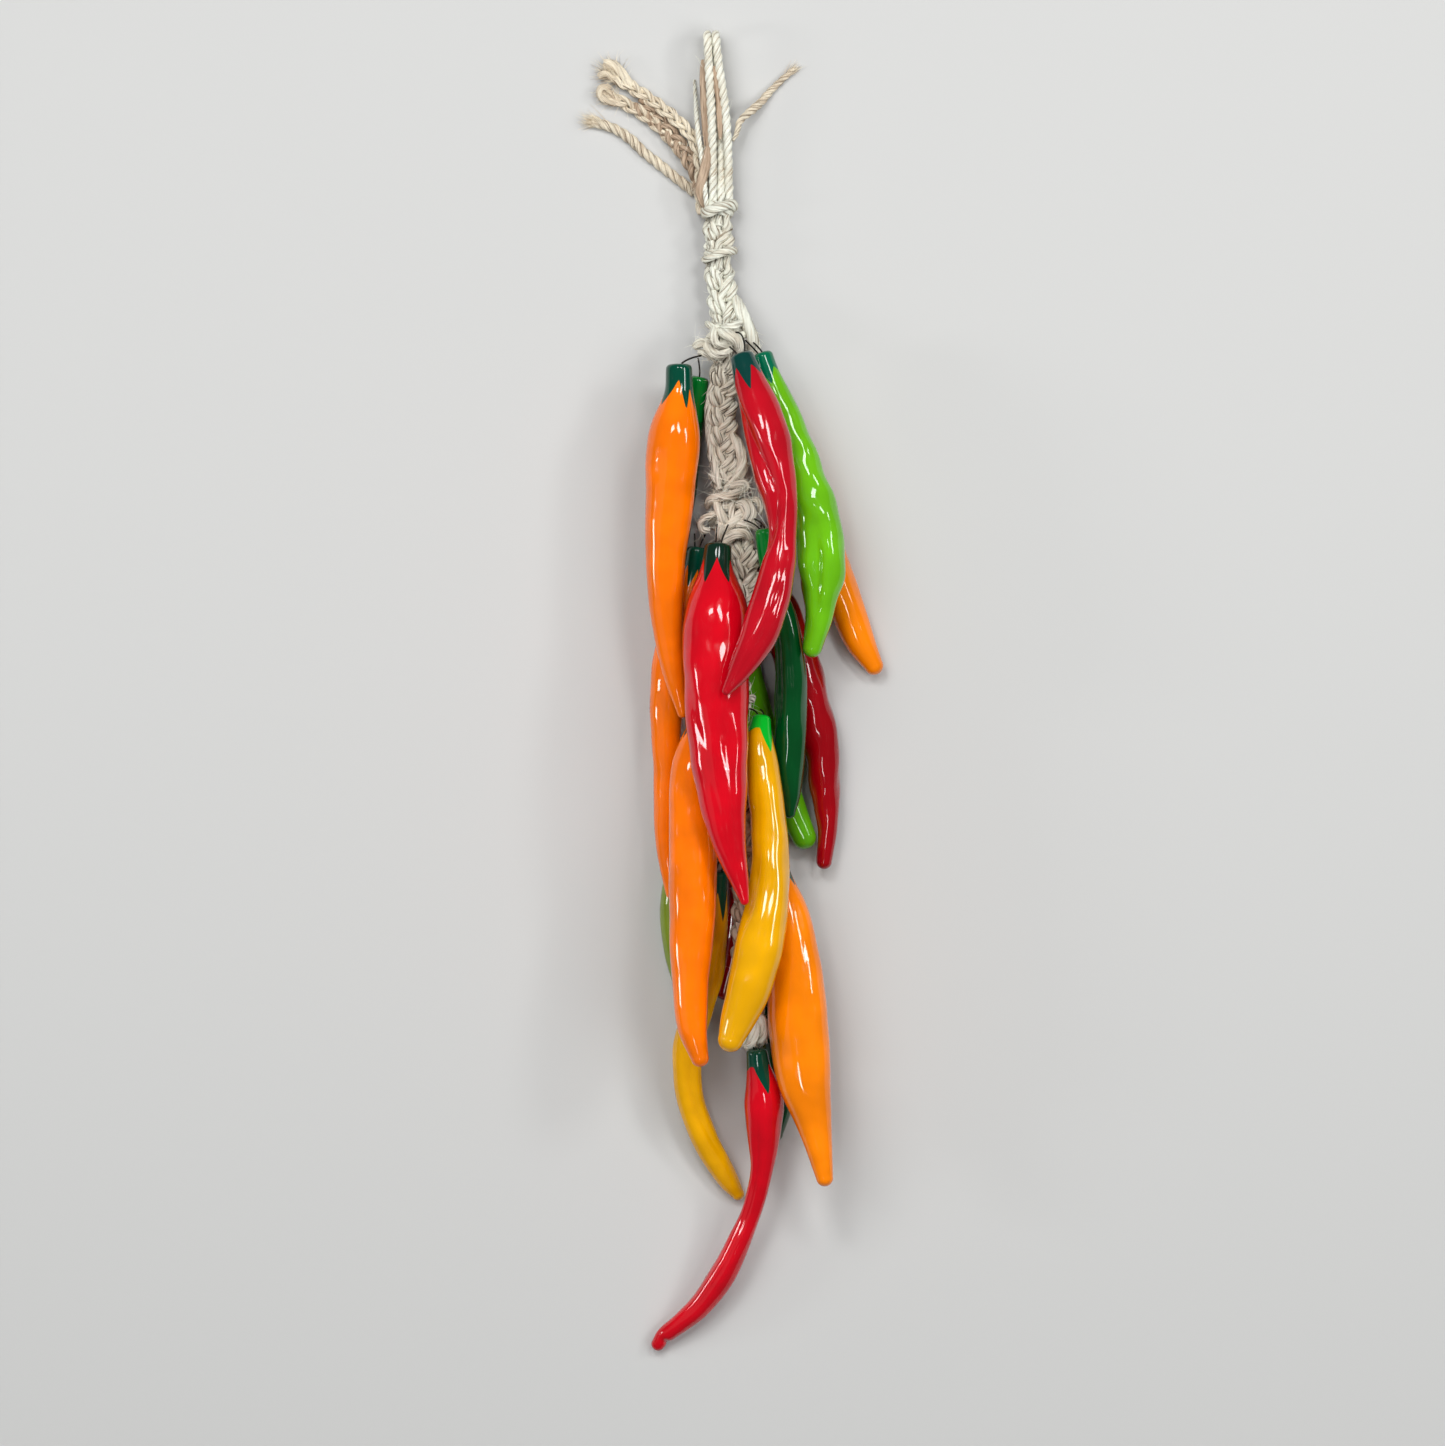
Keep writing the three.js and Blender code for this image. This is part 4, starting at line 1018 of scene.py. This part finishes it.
# %% Loose turns, stubs and stray strands on the knots: thickness, then the points of the route
TURNS = {
    "shoulder_upper_right": (5.8, [(-13.5, 217, 12), (-11, 211, 15.5), (-7.8, 204.6, 18), (-5.4, 198, 18),
        (-4.6, 191.5, 15.5), (-5.5, 185, 12.5)]),
    "lump_upper_left": (3.4, [(-26, 205, 17), (-24.2, 203.6, 20.4), (-21.8, 202.8, 21.6),
        (-20, 203.8, 19.6)]),
    "drop_upper_front": (3.7, [(-22.9, 204, 20), (-22.9, 200.8, 23), (-22.6, 197.6, 24.2),
        (-21.2, 195.2, 24.6), (-18.8, 194.6, 23.8), (-16.2, 195.2, 21.6)]),
    "bend_upper_low": (4.4, [(-26, 197.6, 18.4), (-25.8, 194.4, 21), (-23.6, 191.6, 22),
        (-20.2, 190.6, 22.6), (-17, 191.8, 22.8), (-14.8, 194, 22)]),
    "lump_upper_right": (5.2, [(-21.4, 201.4, 20), (-18.8, 200.4, 22.8), (-15.6, 199, 24.6),
        (-12.8, 197.4, 24.8), (-11.2, 194.8, 23.4), (-11.2, 192, 20.6)]),
    "fold_upper_top": (3.6, [(-19.8, 202.4, 20.4), (-16.8, 203, 22.8), (-13.8, 203.6, 22.8),
        (-10.6, 205.2, 20.4)]),
    "stub_upper_left": (4.2, [(-21.5, 194.6, 17.5), (-25.2, 195.2, 20), (-28.6, 195.8, 20.6),
        (-31.8, 193.8, 19.4)]),
    "stub_upper_low": (3.4, [(-29.8, 192, 18.4), (-26.4, 191, 19.6), (-23.2, 189.6, 19),
        (-20, 187.6, 17.6)]),
    "stray_strand_left": (3.2, [(-22.5, 181, 15.5), (-25.2, 170, 15), (-25.4, 160, 15),
        (-24.4, 149, 15.5), (-22, 139, 17), (-20, 130, 18.5)]),
    "bulge_right": (5.0, [(-15, 155, 15.5), (-11.4, 149, 16.6), (-9.9, 142.5, 17), (-11.6, 136, 17.4),
        (-15.5, 130, 18)]),
    "wrap_middle_top": (4.2, [(-25.6, 122, 15.5), (-24.4, 125, 20), (-20.6, 126.2, 23.2),
        (-16.8, 126.4, 25), (-13.4, 127.8, 25), (-10.4, 130, 23)]),
    "curl_middle_top": (3.8, [(-15, 130.6, 21), (-12.2, 132, 23), (-9.6, 132.6, 23), (-8.4, 130.8, 21.4),
        (-10.2, 129, 20)]),
    "loop_middle_left": (3.1, [(-20.8, 119.6, 22.4), (-24, 118.2, 23), (-27.6, 116.4, 22.6),
        (-29.2, 114, 21.4), (-27.8, 111.6, 20.6), (-24.6, 111.4, 20.4)]),
    "strand_middle": (4.2, [(-21.8, 123.8, 21.6), (-20.6, 120.6, 24.4), (-19, 117.4, 25.4),
        (-17.4, 114.6, 24.4)]),
    "ball_middle": (5.4, [(-18.4, 114.6, 21.4), (-19.4, 112.4, 24.4), (-19.8, 110.4, 24.6),
        (-19.4, 108.4, 22.6)]),
    "strand_middle_right": (3.4, [(-14.6, 124, 21.6), (-14.8, 120.6, 24), (-14.6, 116.6, 24.6),
        (-14.2, 112.6, 23.4)]),
    "lump_middle_high": (6.4, [(-11.8, 122.6, 20.4), (-8.8, 122.6, 23.8), (-6.8, 119.6, 25.4),
        (-7.2, 116.4, 24.4), (-8.6, 114.2, 22)]),
    "curl_middle_right": (3, [(-6, 124.6, 19.4), (-3.6, 125, 21), (-2, 122.6, 21.4),
        (-2.2, 118.6, 20.4)]),
    "band_middle_low": (3.9, [(-13.4, 113.6, 22.4), (-10.6, 114.4, 25), (-7, 114, 25.4),
        (-3.8, 112.8, 22.6)]),
    "turn_middle_low": (4.8, [(-18.6, 104.8, 21.6), (-16.6, 107.2, 24.2), (-13.2, 109.6, 25.6),
        (-9.4, 110, 25.2), (-6.4, 107.6, 22.6)]),
    "fold_end_right": (4.4, [(-3.5, -107, 27.5), (-1, -109.5, 31), (0.2, -113.5, 32), (-0.8, -117.5, 31),
        (-3, -120, 27.5)]),
    "fold_end_middle": (4.6, [(-5, -108.5, 29), (-4.4, -112.5, 32.2), (-4.8, -116.5, 32.4),
        (-6.2, -120, 30.5), (-8, -121.5, 27)]),
    "fold_end_left": (3.8, [(-8, -111, 28), (-8.6, -115, 30.4), (-9.6, -118.5, 29.4),
        (-10.6, -120.6, 26.5)]),
}


def loose_turn(name, points, thickness, seed, material):
    """A short bundle along a smooth curve through a few points, thinner at its two ends by the sixth power
    of the distance from its middle."""
    path = smooth_curve(points, 26 * len(points))
    share = np.linspace(-1, 1, len(path))
    thick = 0.5 * thickness * (1 - 0.3 * share**6)
    piece = bundle(name, path, thick, thick, (0.1, 0.2, 1), lay=9 * thickness, seed=seed, groove=0.17,
                   underside_shade=0.9)
    return finished(piece, material)


for seed, (name, (thickness, points)) in enumerate(TURNS.items(), start=301):
    loose_turn(name, points, thickness, seed, PALE_SISAL if name.startswith("fold_end") else ROPE_SISAL)
print("loose turns:", len(TURNS))

# %% [markdown]
# ## Loops and loose ends
# The rope's cords run on above the top knot. Two are folded back into hanging loops, and five cut ends lie
# on the table beside them. A simulation could let them fall, but it wouldn't lay them where these lie.

# %% Routes of the free cords, and how the thickness of two of them changes on the way
CORDS = {
    "cord_loop_right": (3.3, "object", (1, 0, 0), PALE_SISAL, [
        (-16.6, 254.5, 10.5), (-16, 260.2, 11.5), (-16.1, 272, 12.6), (-16.4, 284, 13.4),
        (-17.2, 297, 14), (-18.6, 309, 14.5), (-20.3, 320, 14.9), (-21.4, 329, 15), (-21.7, 332.9, 13.7),
        (-21.9, 335.3, 10.4), (-21.9, 335.3, 6.3), (-21.7, 332.9, 3), (-21.4, 329, 1.7),
        (-20.7, 320, 1.9), (-20.1, 306, 3.6), (-19.8, 292, 7.6), (-19.6, 278, 10.8), (-19.6, 260.2, 11.9),
        (-19.5, 254.5, 11)]),
    "cord_loop_left": (3.3, "object", (1, 0, 0), PALE_SISAL, [
        (-22.4, 254.5, 11.6), (-23.2, 260.2, 12.6), (-23.2, 272, 13.4), (-23.4, 284, 14),
        (-23.8, 297, 14.4), (-24.4, 309, 14.6), (-25, 320, 14.9), (-25.4, 329, 15), (-25.6, 332.9, 13.7),
        (-25.7, 335.3, 10.4), (-25.7, 335.3, 6.3), (-25.6, 332.9, 3), (-25.4, 329, 1.7), (-25, 320, 1.7),
        (-24.5, 305, 1.8), (-24, 290, 1.8), (-23.6, 276, 1.9), (-22.8, 260.2, 3.2)]),
    "cord_end_upper": (5.6, "bare", (0, 0, 1), TAN_SISAL, [
        (-27, 255, 9.2), (-28.3, 260.6, 9.4), (-28.4, 268, 9.5), (-28.8, 276, 9.4), (-30, 284, 8.8),
        (-33.4, 290.6, 7.9), (-39.8, 297.2, 6.5), (-46.8, 303, 4.9), (-54, 308.2, 3.5),
        (-62, 313.5, 2.95), (-69.5, 318.6, 2.95)]),
    "cord_end_middle": (5.6, "bare", (0, 0, 1), TAN_SISAL, [
        (-27.4, 255.5, 4), (-28.6, 260.6, 3.1), (-29.2, 267, 2.95), (-32, 274.6, 2.95),
        (-37.8, 283.5, 2.95), (-44.6, 291.4, 2.95), (-51.4, 297.6, 2.95), (-58, 302, 2.95),
        (-64.5, 305.4, 2.95), (-71, 308.2, 2.95)]),
    "cord_end_lower": (4, "bare", (0, 0, 1), TAN_SISAL, [
        (-31.4, 264.4, 2.3), (-35.2, 267.6, 2.15), (-38.8, 270.3, 2.15), (-43.3, 273.9, 2.15),
        (-49, 278.5, 2.15), (-54.7, 283, 2.15), (-60, 288.2, 2.15), (-65.9, 292.4, 2.15),
        (-71.5, 294.8, 2.15), (-78, 296.6, 2.15)]),
    "cord_end_thin": (2.2, "bare", (0, 0, 1), PALE_SISAL, [
        (-25.6, 256, 13.4), (-26.3, 260.4, 14.6), (-27, 268, 14.4), (-27.9, 276, 14.2),
        (-28.9, 284, 13.6), (-29.9, 291, 12.2), (-30.5, 297.5, 9.4), (-30.9, 303.5, 6),
        (-31.3, 309.5, 3), (-31.7, 315.5, 1.3)]),
    "cord_end_right": (3.2, "bare", (0, 0, 1), TAN_SISAL, [
        (-14.2, 287.5, 12.6), (-12.6, 290.5, 11.4), (-11, 296.2, 10), (-6.7, 300.6, 7), (-2, 304.8, 3.8),
        (2.6, 310.2, 1.9), (8, 315.6, 1.7), (13.7, 320.6, 1.7)]),
}
SHARES = {
    "cord_end_right": ([0, 0.15, 0.5, 1], [0.24, 0.38, 0.64, 0.4]),
    "cord_end_thin": ([0, 0.7, 1], [0.54, 0.54, 0.3]),
}
USUAL_SHARES = ([0, 1], [0.6, 0.6])
PLAITED = {"cord_end_upper", "cord_end_middle"}
PLAIT_SHARES = (0.36, 0.44, 4.0)
cut_ends = [node for node in CORDS if node.startswith("cord_end")]
print(len(CORDS) - len(cut_ends), "loops and", len(cut_ends), "cut ends")

# %% [markdown]
# The two thickest cut ends are small plaits, and the rest are single twisted cords. A plait needs no new
# idea: three thin bundles follow the formula of the big one, round the cord's own route. They are joined
# into one object, because one cord is one piece. A twisted cord takes a share of its diameter as its
# radius, a little over a half, because that measures to the backs of the yarns and not to the grooves.

# %% A cord along its route
FINE_STEP = 0.35
STEP = 0.7


def joined(pieces):
    """Several pieces as one, which keeps the name of the first."""
    with bpy.context.temp_override(active_object=pieces[0], selected_editable_objects=pieces):
        bpy.ops.object.join()
    return pieces[0]


def small_plait(name, path, half_width, thickness, pitch, seed):
    """Three thin strands round a path: across by half_width * sin(angle) and up by half of thickness *
    sin(2 angle), each a third of a pitch behind the last."""
    _, side, up = directions(path, UP)
    distance = distance_along(path)
    strands = []
    for number in range(3):
        angle = 2 * np.pi * (distance / pitch - number / 3)
        across = side * (half_width * np.sin(angle))[:, None]
        strand = path + across + up * (0.5 * thickness * np.sin(2 * angle))[:, None]
        radius = 0.5 * thickness
        strands.append(bundle(f"{name}_{number}", strand, radius, radius, UP,
                              lay=15, seed=seed + number, sides=20, groove=0.2))
    strands[0].name = name
    return joined(strands)


def free_cord(node, diameter, reference, material, route, seed):
    """A twisted or plaited cord along the route. A plait's half width, thickness and pitch are the three
    PLAIT_SHARES of its diameter."""
    length = np.linalg.norm(np.diff(smooth_curve(route, 400), axis=0), axis=1).sum()
    path = smooth_curve(route, int(length / (FINE_STEP if node in PLAITED else STEP)))
    if node in PLAITED:
        piece = small_plait("plaited_" + node, path, *[share * diameter for share in PLAIT_SHARES], seed)
    else:
        places, shares = SHARES.get(node, USUAL_SHARES)
        radius = diameter * np.interp(np.linspace(0, 1, len(path)), places, shares)
        piece = bundle("twisted_" + node, path, radius, radius, reference,
                       lay=3.6 * diameter, seed=seed, sides=30, groove=0.34)
    finished(piece, material, node)
    centres = [tuple(point * MM) for point in path]
    diameter * MM
    return path, length


cord_paths = {}
for seed, (node, (diameter, far_end, reference, material, route)) in enumerate(CORDS.items(), start=101):
    cord_paths[node], length = free_cord(node, diameter, reference, material, route, seed)
    print(node, "is", round(length), "mm long")

# %% [markdown]
# Raw fibre fills the gaps between the loose ends. A third plait, brown and dusty, lies between the two
# thick ones, flat ribbons of fibre that nobody twisted lie among the loops, and the plaits' ends fold over
# into tufts. They could be left to the loose hairs, but they are too thick for that. A ribbon is a wide,
# flat bundle whose lay is so long that its yarns run straight, and a tuft is one more loose turn, so the
# functions above make all three.

# %% The brown plait, ribbons (width, thickness and route) and tufts (thickness and route)
BROWN_ROUTE = [
    (-58, 304.6, 2.6), (-52, 300, 2.8), (-45.6, 294.4, 3.4), (-39.4, 287, 4.4), (-34, 279.4, 5.4),
    (-30.2, 272.4, 6), (-28.4, 265, 6.4),
]
RIBBONS = {
    "raw_ribbon_left": (3.4, 1.6, [(-27.8, 324, 12.4), (-27.7, 315, 12.8), (-27.3, 306, 12.8),
        (-26.8, 297, 13), (-26.2, 289, 13.2), (-25.6, 281, 13.4)]),
    "raw_ribbon_middle": (3.0, 1.8, [(-22.8, 321, 14.9), (-21.6, 313, 14.7), (-20.6, 305, 14.2),
        (-20.1, 297, 13.6), (-19.9, 288, 13)]),
    "raw_ribbon_root": (4.6, 2.0, [(-25.4, 285, 14.8), (-26.4, 277, 15.2), (-28.2, 270, 15),
        (-29, 264, 13.8), (-26.6, 256.8, 11)]),
}
TUFTS = {
    "tuft_upper": (4.6, [(-60, 312.4, 3.4), (-64.6, 318.4, 4), (-68.4, 322.2, 4), (-72.6, 323.2, 3.4)]),
    "tuft_upper_low": (3.8, [(-62.6, 311.8, 3.2), (-67.8, 316, 3.8), (-72, 318.4, 3.6), (-75, 317, 3)]),
    "tuft_middle": (4.2, [(-65, 304.9, 3.2), (-70.4, 306, 4), (-74, 308.4, 4), (-73.4, 311.4, 3.8),
        (-69.5, 311.6, 3)]),
}
STRAIGHT = 900


def ribbon(name, width, thickness, points, seed):
    """A flat bundle whose yarns run straight along it, thinner at its two ends by the fourth power of the
    distance from its middle."""
    path = smooth_curve(points, 30 * len(points))
    slim = 1 - 0.55 * np.linspace(-1, 1, len(path)) ** 4
    piece = bundle(name, path, 0.5 * width * slim, 0.5 * thickness * slim, UP,
                   lay=STRAIGHT, seed=seed, yarns=7, sides=42, groove=0.12)
    return finished(piece, BROWN_SISAL)


brown_path = smooth_curve(BROWN_ROUTE, 150)
brown_plait = small_plait("brown_plait", brown_path, half_width=2.7, thickness=2.6, pitch=19, seed=111)
finished(brown_plait, BROWN_SISAL)
for seed, (name, (width, thickness, points)) in enumerate(RIBBONS.items(), start=121):
    ribbon(name, width, thickness, points, seed)
for seed, (name, (thickness, points)) in enumerate(TUFTS.items(), start=131):
    loose_turn(name, points, thickness, seed, TAN_SISAL)
print("ribbons:", list(RIBBONS), "tufts:", list(TUFTS))

# %% [markdown]
# ## Loose fibres
# Sisal sheds. Fine fibres stand out from the rope all the way down, thickest where it was cut or knotted,
# and each cut end is a brush. Blender has hair systems, but their hairs have no mesh for the library to
# keep. A fibre here is a bent hair, three-sided and thinner at its tip. Hundreds of them are made at once,
# as one array of hairs by rings by corners.

# %% Hairs as one array
RINGS_OF_A_HAIR = 7


def hairs(name, roots, aims, lengths, thickness, seed, material):
    """Each hair's middle is root + aim * length * t + bend * t squared, with t from 0 to 1, and its radius
    falls from half the thickness to a fifth of that. bend is random, about a third of the length."""
    draw = np.random.default_rng(seed)
    count, rings = len(roots), RINGS_OF_A_HAIR
    aims = unit(aims)
    bend = draw.normal(0, 0.2, (count, 3)) * lengths[:, None]
    t = np.linspace(0, 1, rings)[None, :, None]
    middle = roots[:, None] + aims[:, None] * lengths[:, None, None] * t + bend[:, None] * t**2
    side = unit(np.cross(aims, draw.normal(size=(count, 3))))
    other = np.cross(aims, side)
    turn = np.array([0, 2, 4]) * np.pi / 3
    ring = side[:, None] * np.cos(turn)[None, :, None] + other[:, None] * np.sin(turn)[None, :, None]
    radius = 0.5 * thickness * (1 - 0.8 * t)
    points = middle[:, :, None] + ring[:, None] * radius[..., None]
    points[..., 2] = np.maximum(points[..., 2], 0.05)
    index = np.arange(points[..., 0].size).reshape(count, rings, 3)
    onward = np.roll(index, -1, axis=2)
    quads = np.stack([index[:, :-1], onward[:, :-1], onward[:, 1:], index[:, 1:]], axis=-1).reshape(-1, 4)
    ends = np.vstack([index[:, 0, ::-1], index[:, -1]])
    mesh = bpy.data.meshes.new(name)
    mesh.from_pydata((points.reshape(-1, 3) * MM).tolist(), [], quads.tolist() + ends.tolist())
    fibre = np.broadcast_to(draw.uniform(0, 40, (count, 1, 1, 3)), points.shape)
    mesh.attributes.new("fibre", "FLOAT_VECTOR", "POINT").data.foreach_set("vector", fibre.ravel())
    piece = bpy.data.objects.new(name, mesh)
    bpy.context.scene.collection.objects.link(piece)
    return finished(piece, material)


print("triangles in a hair:", 6 * (RINGS_OF_A_HAIR - 1) + 2)

# %% [markdown]
# The hairs could be spread evenly, but on the real rope they gather at the knots and where cords rub. So
# each group of fuzz has its places, and the nearer a point of the skins is to one, the more likely it is
# to be a root.

# %% Fuzz: how many, the places (y, half length and weight), the longest, the thickness and the sisal
FUZZ = {
    "fuzz_all_along": (900, [(70, 220, 1.0)], 7, 0.22, ROPE_SISAL),
    "fuzz_upper": (300, [(186, 16, 1.0), (205, 8, 0.2)], 9, 0.22, ROPE_SISAL),
    "fuzz_middle": (360, [(118, 12, 0.5), (134, 8, 1.6)], 12, 0.26, PALE_SISAL),
    "fuzz_hidden": (240, [(32, 9, 1.0), (-34, 8, 0.8), (-112, 7, 0.5)], 11, 0.3, PALE_SISAL),
}


def rope_fuzz(name, count, places, reach, thickness, material, seed):
    """Hairs that start on the skins made so far. A point's chance is the sum over the places of weight
    times a bell in y, and a hair leans between the way along the rope and straight out of it."""
    draw = np.random.default_rng(seed)
    skin, core, way = [np.vstack([part.reshape(-1, 3) for part in parts]) for parts in zip(*surfaces)]
    weight = sum(share * np.exp(-(((skin[:, 1] - y) / half) ** 2)) for y, half, share in places)
    pick = draw.choice(len(skin), count, p=weight / weight.sum())
    outward = unit(skin[pick] - core[pick])
    aims = way[pick] * draw.choice([-1, 1], count)[:, None] * draw.uniform(0.4, 1.3, count)[:, None]
    aims = aims + outward * draw.uniform(0.25, 1.1, count)[:, None] + draw.normal(0, 0.35, (count, 3))
    lengths = reach * draw.uniform(0.35, 1.0, count) ** 1.5
    return hairs(name, skin[pick] - 0.1 * outward, aims, lengths, thickness, seed + 1, material)


for number, (name, group) in enumerate(FUZZ.items()):
    rope_fuzz(name, *group, 201 + 2 * number)
print("fibres that stand out:", sum(group[0] for group in FUZZ.values()))

# %% [markdown]
# A cut end of sisal opens into a brush, wide on a soft end and narrow on a tight one. A cone with a picture
# of fibres would look flat from the side, and the hairs are there already. They start in the last few
# millimetres of the cord and fan out round its direction.

# %% Brushes on the cut ends: how many hairs, the longest, and how far they fan out
BRUSHES = {
    "cord_end_upper": (240, 7, 0.5),
    "cord_end_middle": (160, 5, 0.4),
    "cord_end_lower": (140, 5, 0.26),
    "cord_end_right": (40, 3, 0.15),
}
BRUSH_ROOTS = 5
BRUSH_THICKNESS = 0.3


def brush(node, count, reach, spread, seed):
    """Hairs from the last millimetres of a cord, each aimed along the cord plus a random vector of the
    given spread. The cord's direction comes from its last six points."""
    draw = np.random.default_rng(seed)
    path = cord_paths[node]
    radius = CORDS[node][0] / 2
    along = unit(path[-1] - path[-6])
    back = draw.uniform(0, BRUSH_ROOTS, count)[:, None]
    offset = draw.normal(0, 0.42, (count, 3)) * radius
    aims = along + draw.normal(0, spread, (count, 3)) + 0.25 * offset / radius
    lengths = back[:, 0] + reach * draw.uniform(0.4, 1.0, count)
    roots = path[-1] - along * back + offset
    return hairs("brush_" + node, roots, aims, lengths, BRUSH_THICKNESS, seed + 1, TAN_SISAL)


for number, (node, fan) in enumerate(BRUSHES.items()):
    brush(node, *fan, 221 + 2 * number)
print("fibres in the brushes:", sum(fan[0] for fan in BRUSHES.values()))

# %% [markdown]
# ## Wires
# Each chilli hangs by a loop of thin black annealed wire, bent in the middle of the stem's flat top, with
# both its legs pushed into a knot. A bevelled curve would do, but the knot each wire leads to is only in
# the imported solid. So the far end is read from the solid's corners, and the loop is drawn to it as two
# smooth bends. The legs lie side by side, or one above the other where only one shows from above. The
# wires of two chillies in front run over the knot, so the bends and ends of their legs are listed.

# %% Wire loops
WIRE_RADIUS = 0.4
FOOT_DEPTH = 0.6
KNEE_REACH = 4.0
SIDE_BY_SIDE = (0.9, 2.4)
ONE_ABOVE_THE_OTHER = (0.45, 0.45)
STACKED = {"orange_front_left", "green_back_left"}
LED_TO = {
    "red_front_right": [((-8.2, 202, 29), (-13.8, 200.2, 25.4)), ((-12.8, 191.6, 28), (-15.6, 194, 24))],
    "lime": [((-2.2, 193.8, 23), (-5.6, 196.6, 19.5)), ((-4.6, 193.2, 25), (-8.6, 197, 22.4))],
}


def black_wire():
    """Annealed iron: dark, mostly metallic, with a dull sheen that is a little worn in specks."""
    net = Net("annealed_wire", Metallic=0.8)
    worn = net.noise(net.place(), 400.0)
    dark, bare = (0.012, 0.012, 0.011, 1.0), (0.05, 0.046, 0.04, 1.0)
    net.feed("Base Color", net.mix(worn.clamped(0.35, 0.65), dark, bare))
    net.feed("Roughness", 0.35 + 0.2 * worn)
    return net.material


def wire_loop(name, material):
    """Two quadratic curves from the middle of the stem's top to the knot, joined at the stem: the far end
    is the mean of the solid's five farthest corners, moved a little to each side."""
    middle, _, _, along, side, up = middle_line(name)
    corners = node_points("wire_" + name)
    foot = middle[0] + along[0] * FOOT_DEPTH
    farthest = np.linalg.norm(corners - foot, axis=1).argsort()[-5:]
    knot_end = corners[farthest].mean(axis=0)
    bend = middle[0] - along[0] * KNEE_REACH
    way_apart, (near, far) = (up[0], ONE_ABOVE_THE_OTHER) if name in STACKED else (side[0], SIDE_BY_SIDE)
    apart, far_apart = way_apart * near, way_apart * far
    spread = [(bend + 1.4 * apart * sign, knot_end + far_apart * sign) for sign in (-1, 1)]
    t = np.linspace(0, 1, 26)[:, None]
    legs = []
    for sign, (knee, end) in zip((-1, 1), LED_TO.get(name, spread)):
        start = foot + apart * sign
        legs.append((1 - t) ** 2 * start + 2 * t * (1 - t) * np.array(knee) + t**2 * np.array(end))
    path = np.vstack([legs[0][::-1], legs[1]])
    _, across, up = directions(path, (0.3, 0.1, 1))
    angle = np.linspace(0, 2 * np.pi, 8, endpoint=False)[None, :, None]
    rows = path[:, None] + WIRE_RADIUS * (across[:, None] * np.sin(angle) + up[:, None] * np.cos(angle))
    loop = closed_skin("bent_wire_" + name, rows, path[0], path[-1])
    return finished(loop, material, "wire_" + name)


wire = black_wire()
for name in CHILLIES:
    wire_loop(name, wire)
print("wires:", len(CHILLIES))
